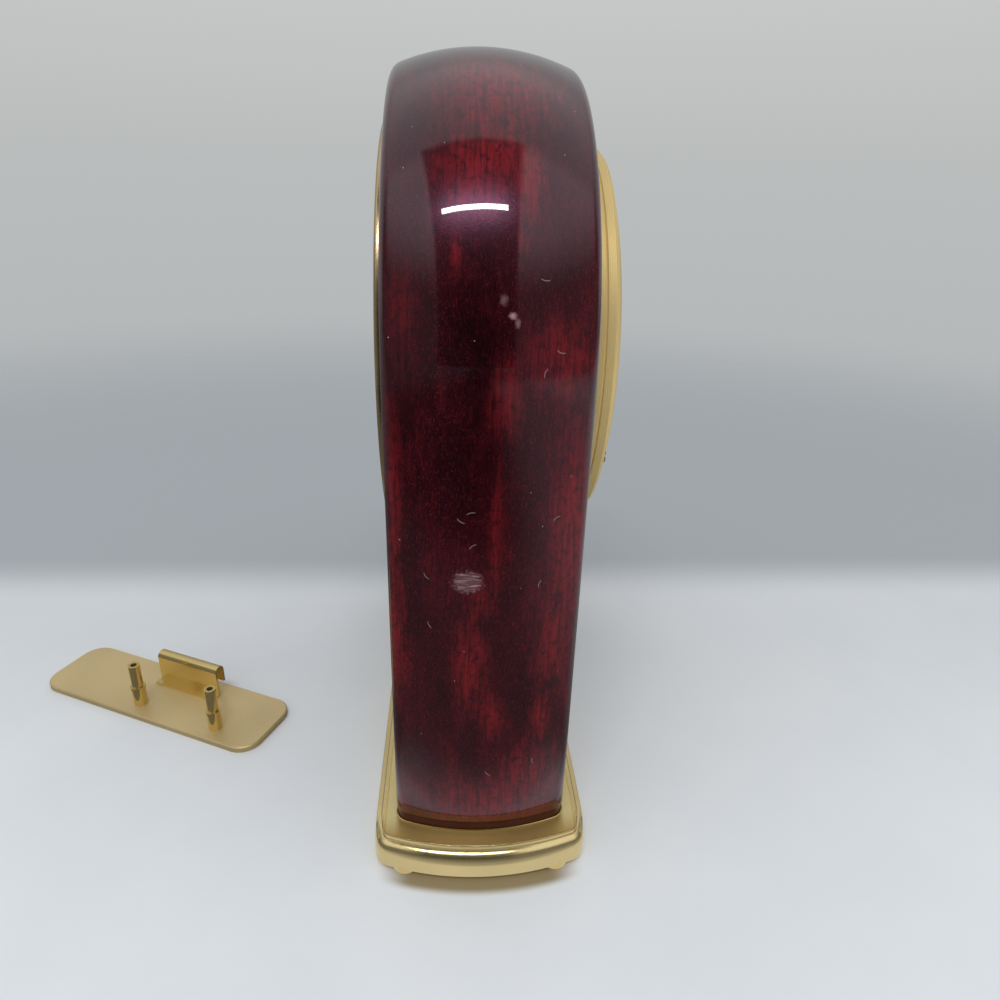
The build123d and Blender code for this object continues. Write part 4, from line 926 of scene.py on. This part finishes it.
def floor():
    """Floor that fades out far away and that mirrors see by its own brightness."""
    material = new_material("pale_floor", Roughness=0.55, Specular_IOR_Level=0.25)
    where = add(material, "ShaderNodeNewGeometry").outputs["Position"]
    split = add(material, "ShaderNodeSeparateXYZ", {0: where})
    x, y = split.outputs[0], split.outputs[1]
    wire(material, "Base Color", floor_tone(material, where, x, y))
    path = add(material, "ShaderNodeLightPath")
    flat = vector_length(material, vector_calc(material, "SUBTRACT", where, (0.106, 0, 0)))
    level = floor_level(material, x, y, flat)
    lit = {"Color": (0.96, 0.98, 1.0, 1), "Strength": level}
    mirror = add(material, "ShaderNodeEmission", lit).outputs[0]
    far = smooth_step(material, flat, 0.24, 0.50)
    clear = add(material, "ShaderNodeBsdfTransparent").outputs[0]
    shader = material.node_tree.nodes["Principled BSDF"].outputs[0]
    faded = mix_shader(material, times(material, far, path.outputs["Is Camera Ray"]), shader, clear)
    seen = mix_shader(material, path.outputs["Is Glossy Ray"], faded, mirror)
    material.node_tree.links.new(seen, material.node_tree.nodes["Material Output"].inputs[0])
    mesh = bmesh.new()
    bmesh.ops.create_grid(mesh, x_segments=1, y_segments=1, size=floor_reach)
    data = bpy.data.meshes.new("floor")
    mesh.to_mesh(data)
    mesh.free()
    data.materials.append(material)
    made = bpy.data.objects.new("floor", data)
    scene.collection.objects.link(made)


floor()


# The one lamp, a long tube: where it hangs, what it points at, its size, all in metres, and its watts
lamp_place = (0.66, -0.105, 1.2)
lamp_target = (0.03, -0.0017, 0.08)
lamp_size = (0.64, 0.05)
lamp_power = 4.2


def tube_lamp():
    """Lamp whose long side lies along the clock's depth; the lacquer mirrors it as a bright line."""
    data = bpy.data.lights.new("tube", "AREA")
    data.shape = "RECTANGLE"
    data.size, data.size_y = lamp_size
    data.energy = lamp_power
    lamp = bpy.data.objects.new("tube", data)
    scene.collection.objects.link(lamp)
    forward = (Vector(lamp_target) - Vector(lamp_place)).normalized()
    side = Vector((0, 1, 0))
    rise = side.cross(forward).normalized()
    turn = Matrix((side, rise, -forward)).transposed()
    lamp.matrix_world = Matrix.Translation(lamp_place) @ turn.to_4x4()


tube_lamp()


# Greys that the camera sees behind the floor, from low to high, and the strength of the plain light
back_tones = [(0.0, (0.42, 0.445, 0.46)), (0.5, (0.49, 0.505, 0.505)), (0.75, (0.60, 0.60, 0.60))]
plain_strength = 0.74


def backdrop(sky, colour, strength):
    return add(sky, "ShaderNodeBackground", {"Color": colour, "Strength": strength}).outputs[0]


def mirrored_room(sky, x, y, z):
    """Brightness of the room in mirrors: pale ceiling, dimmer walls and the dark shape of who looks."""
    ceiling = calc(sky, "MULTIPLY_ADD", smooth_step(sky, z, 0.42, 0.80), 0.72, 0.12)
    behind = inverse(sky, smooth_step(sky, x, -0.30, -0.05))
    walls = calc(sky, "MAXIMUM", ceiling, times(sky, behind, 0.55))
    over = inverse(sky, smooth_step(sky, x, -0.02, 0.12))
    walls = times(sky, walls, calc(sky, "MULTIPLY_ADD", over, -0.30, 1.0))
    shape_left = smooth_step(sky, y, -0.40, -0.365)
    shape_right = inverse(sky, smooth_step(sky, y, 0.225, 0.265))
    shape = times(sky, times(sky, shape_left, shape_right), smooth_step(sky, x, -0.03, 0.03))
    return times(sky, walls, calc(sky, "MULTIPLY_ADD", shape, -0.96, 1.0))


def world():
    """Plain light on the clock, greys behind it and a room for its mirrors."""
    sky = bpy.data.worlds.new("studio")
    scene.world = sky
    sky.use_nodes = True
    sky.node_tree.nodes.clear()
    where = add(sky, "ShaderNodeTexCoord")
    split = add(sky, "ShaderNodeSeparateXYZ", {0: where.outputs["Generated"]})
    x, y, z = split.outputs
    path = add(sky, "ShaderNodeLightPath")
    rise = calc(sky, "MULTIPLY_ADD", z, 1.0, 0.5)
    seen = backdrop(sky, ramp(sky, rise, back_tones), 1.0)
    plain = backdrop(sky, (0.94, 0.97, 1.0, 1), plain_strength)
    mirror = backdrop(sky, (0.97, 0.98, 1.0, 1), mirrored_room(sky, x, y, z))
    lit = mix_shader(sky, path.outputs["Is Glossy Ray"], plain, mirror)
    chosen = mix_shader(sky, path.outputs["Is Camera Ray"], lit, seen)
    out = add(sky, "ShaderNodeOutputWorld")
    sky.node_tree.links.new(chosen, out.inputs[0])


world()
scene.view_settings.view_transform = "Standard"
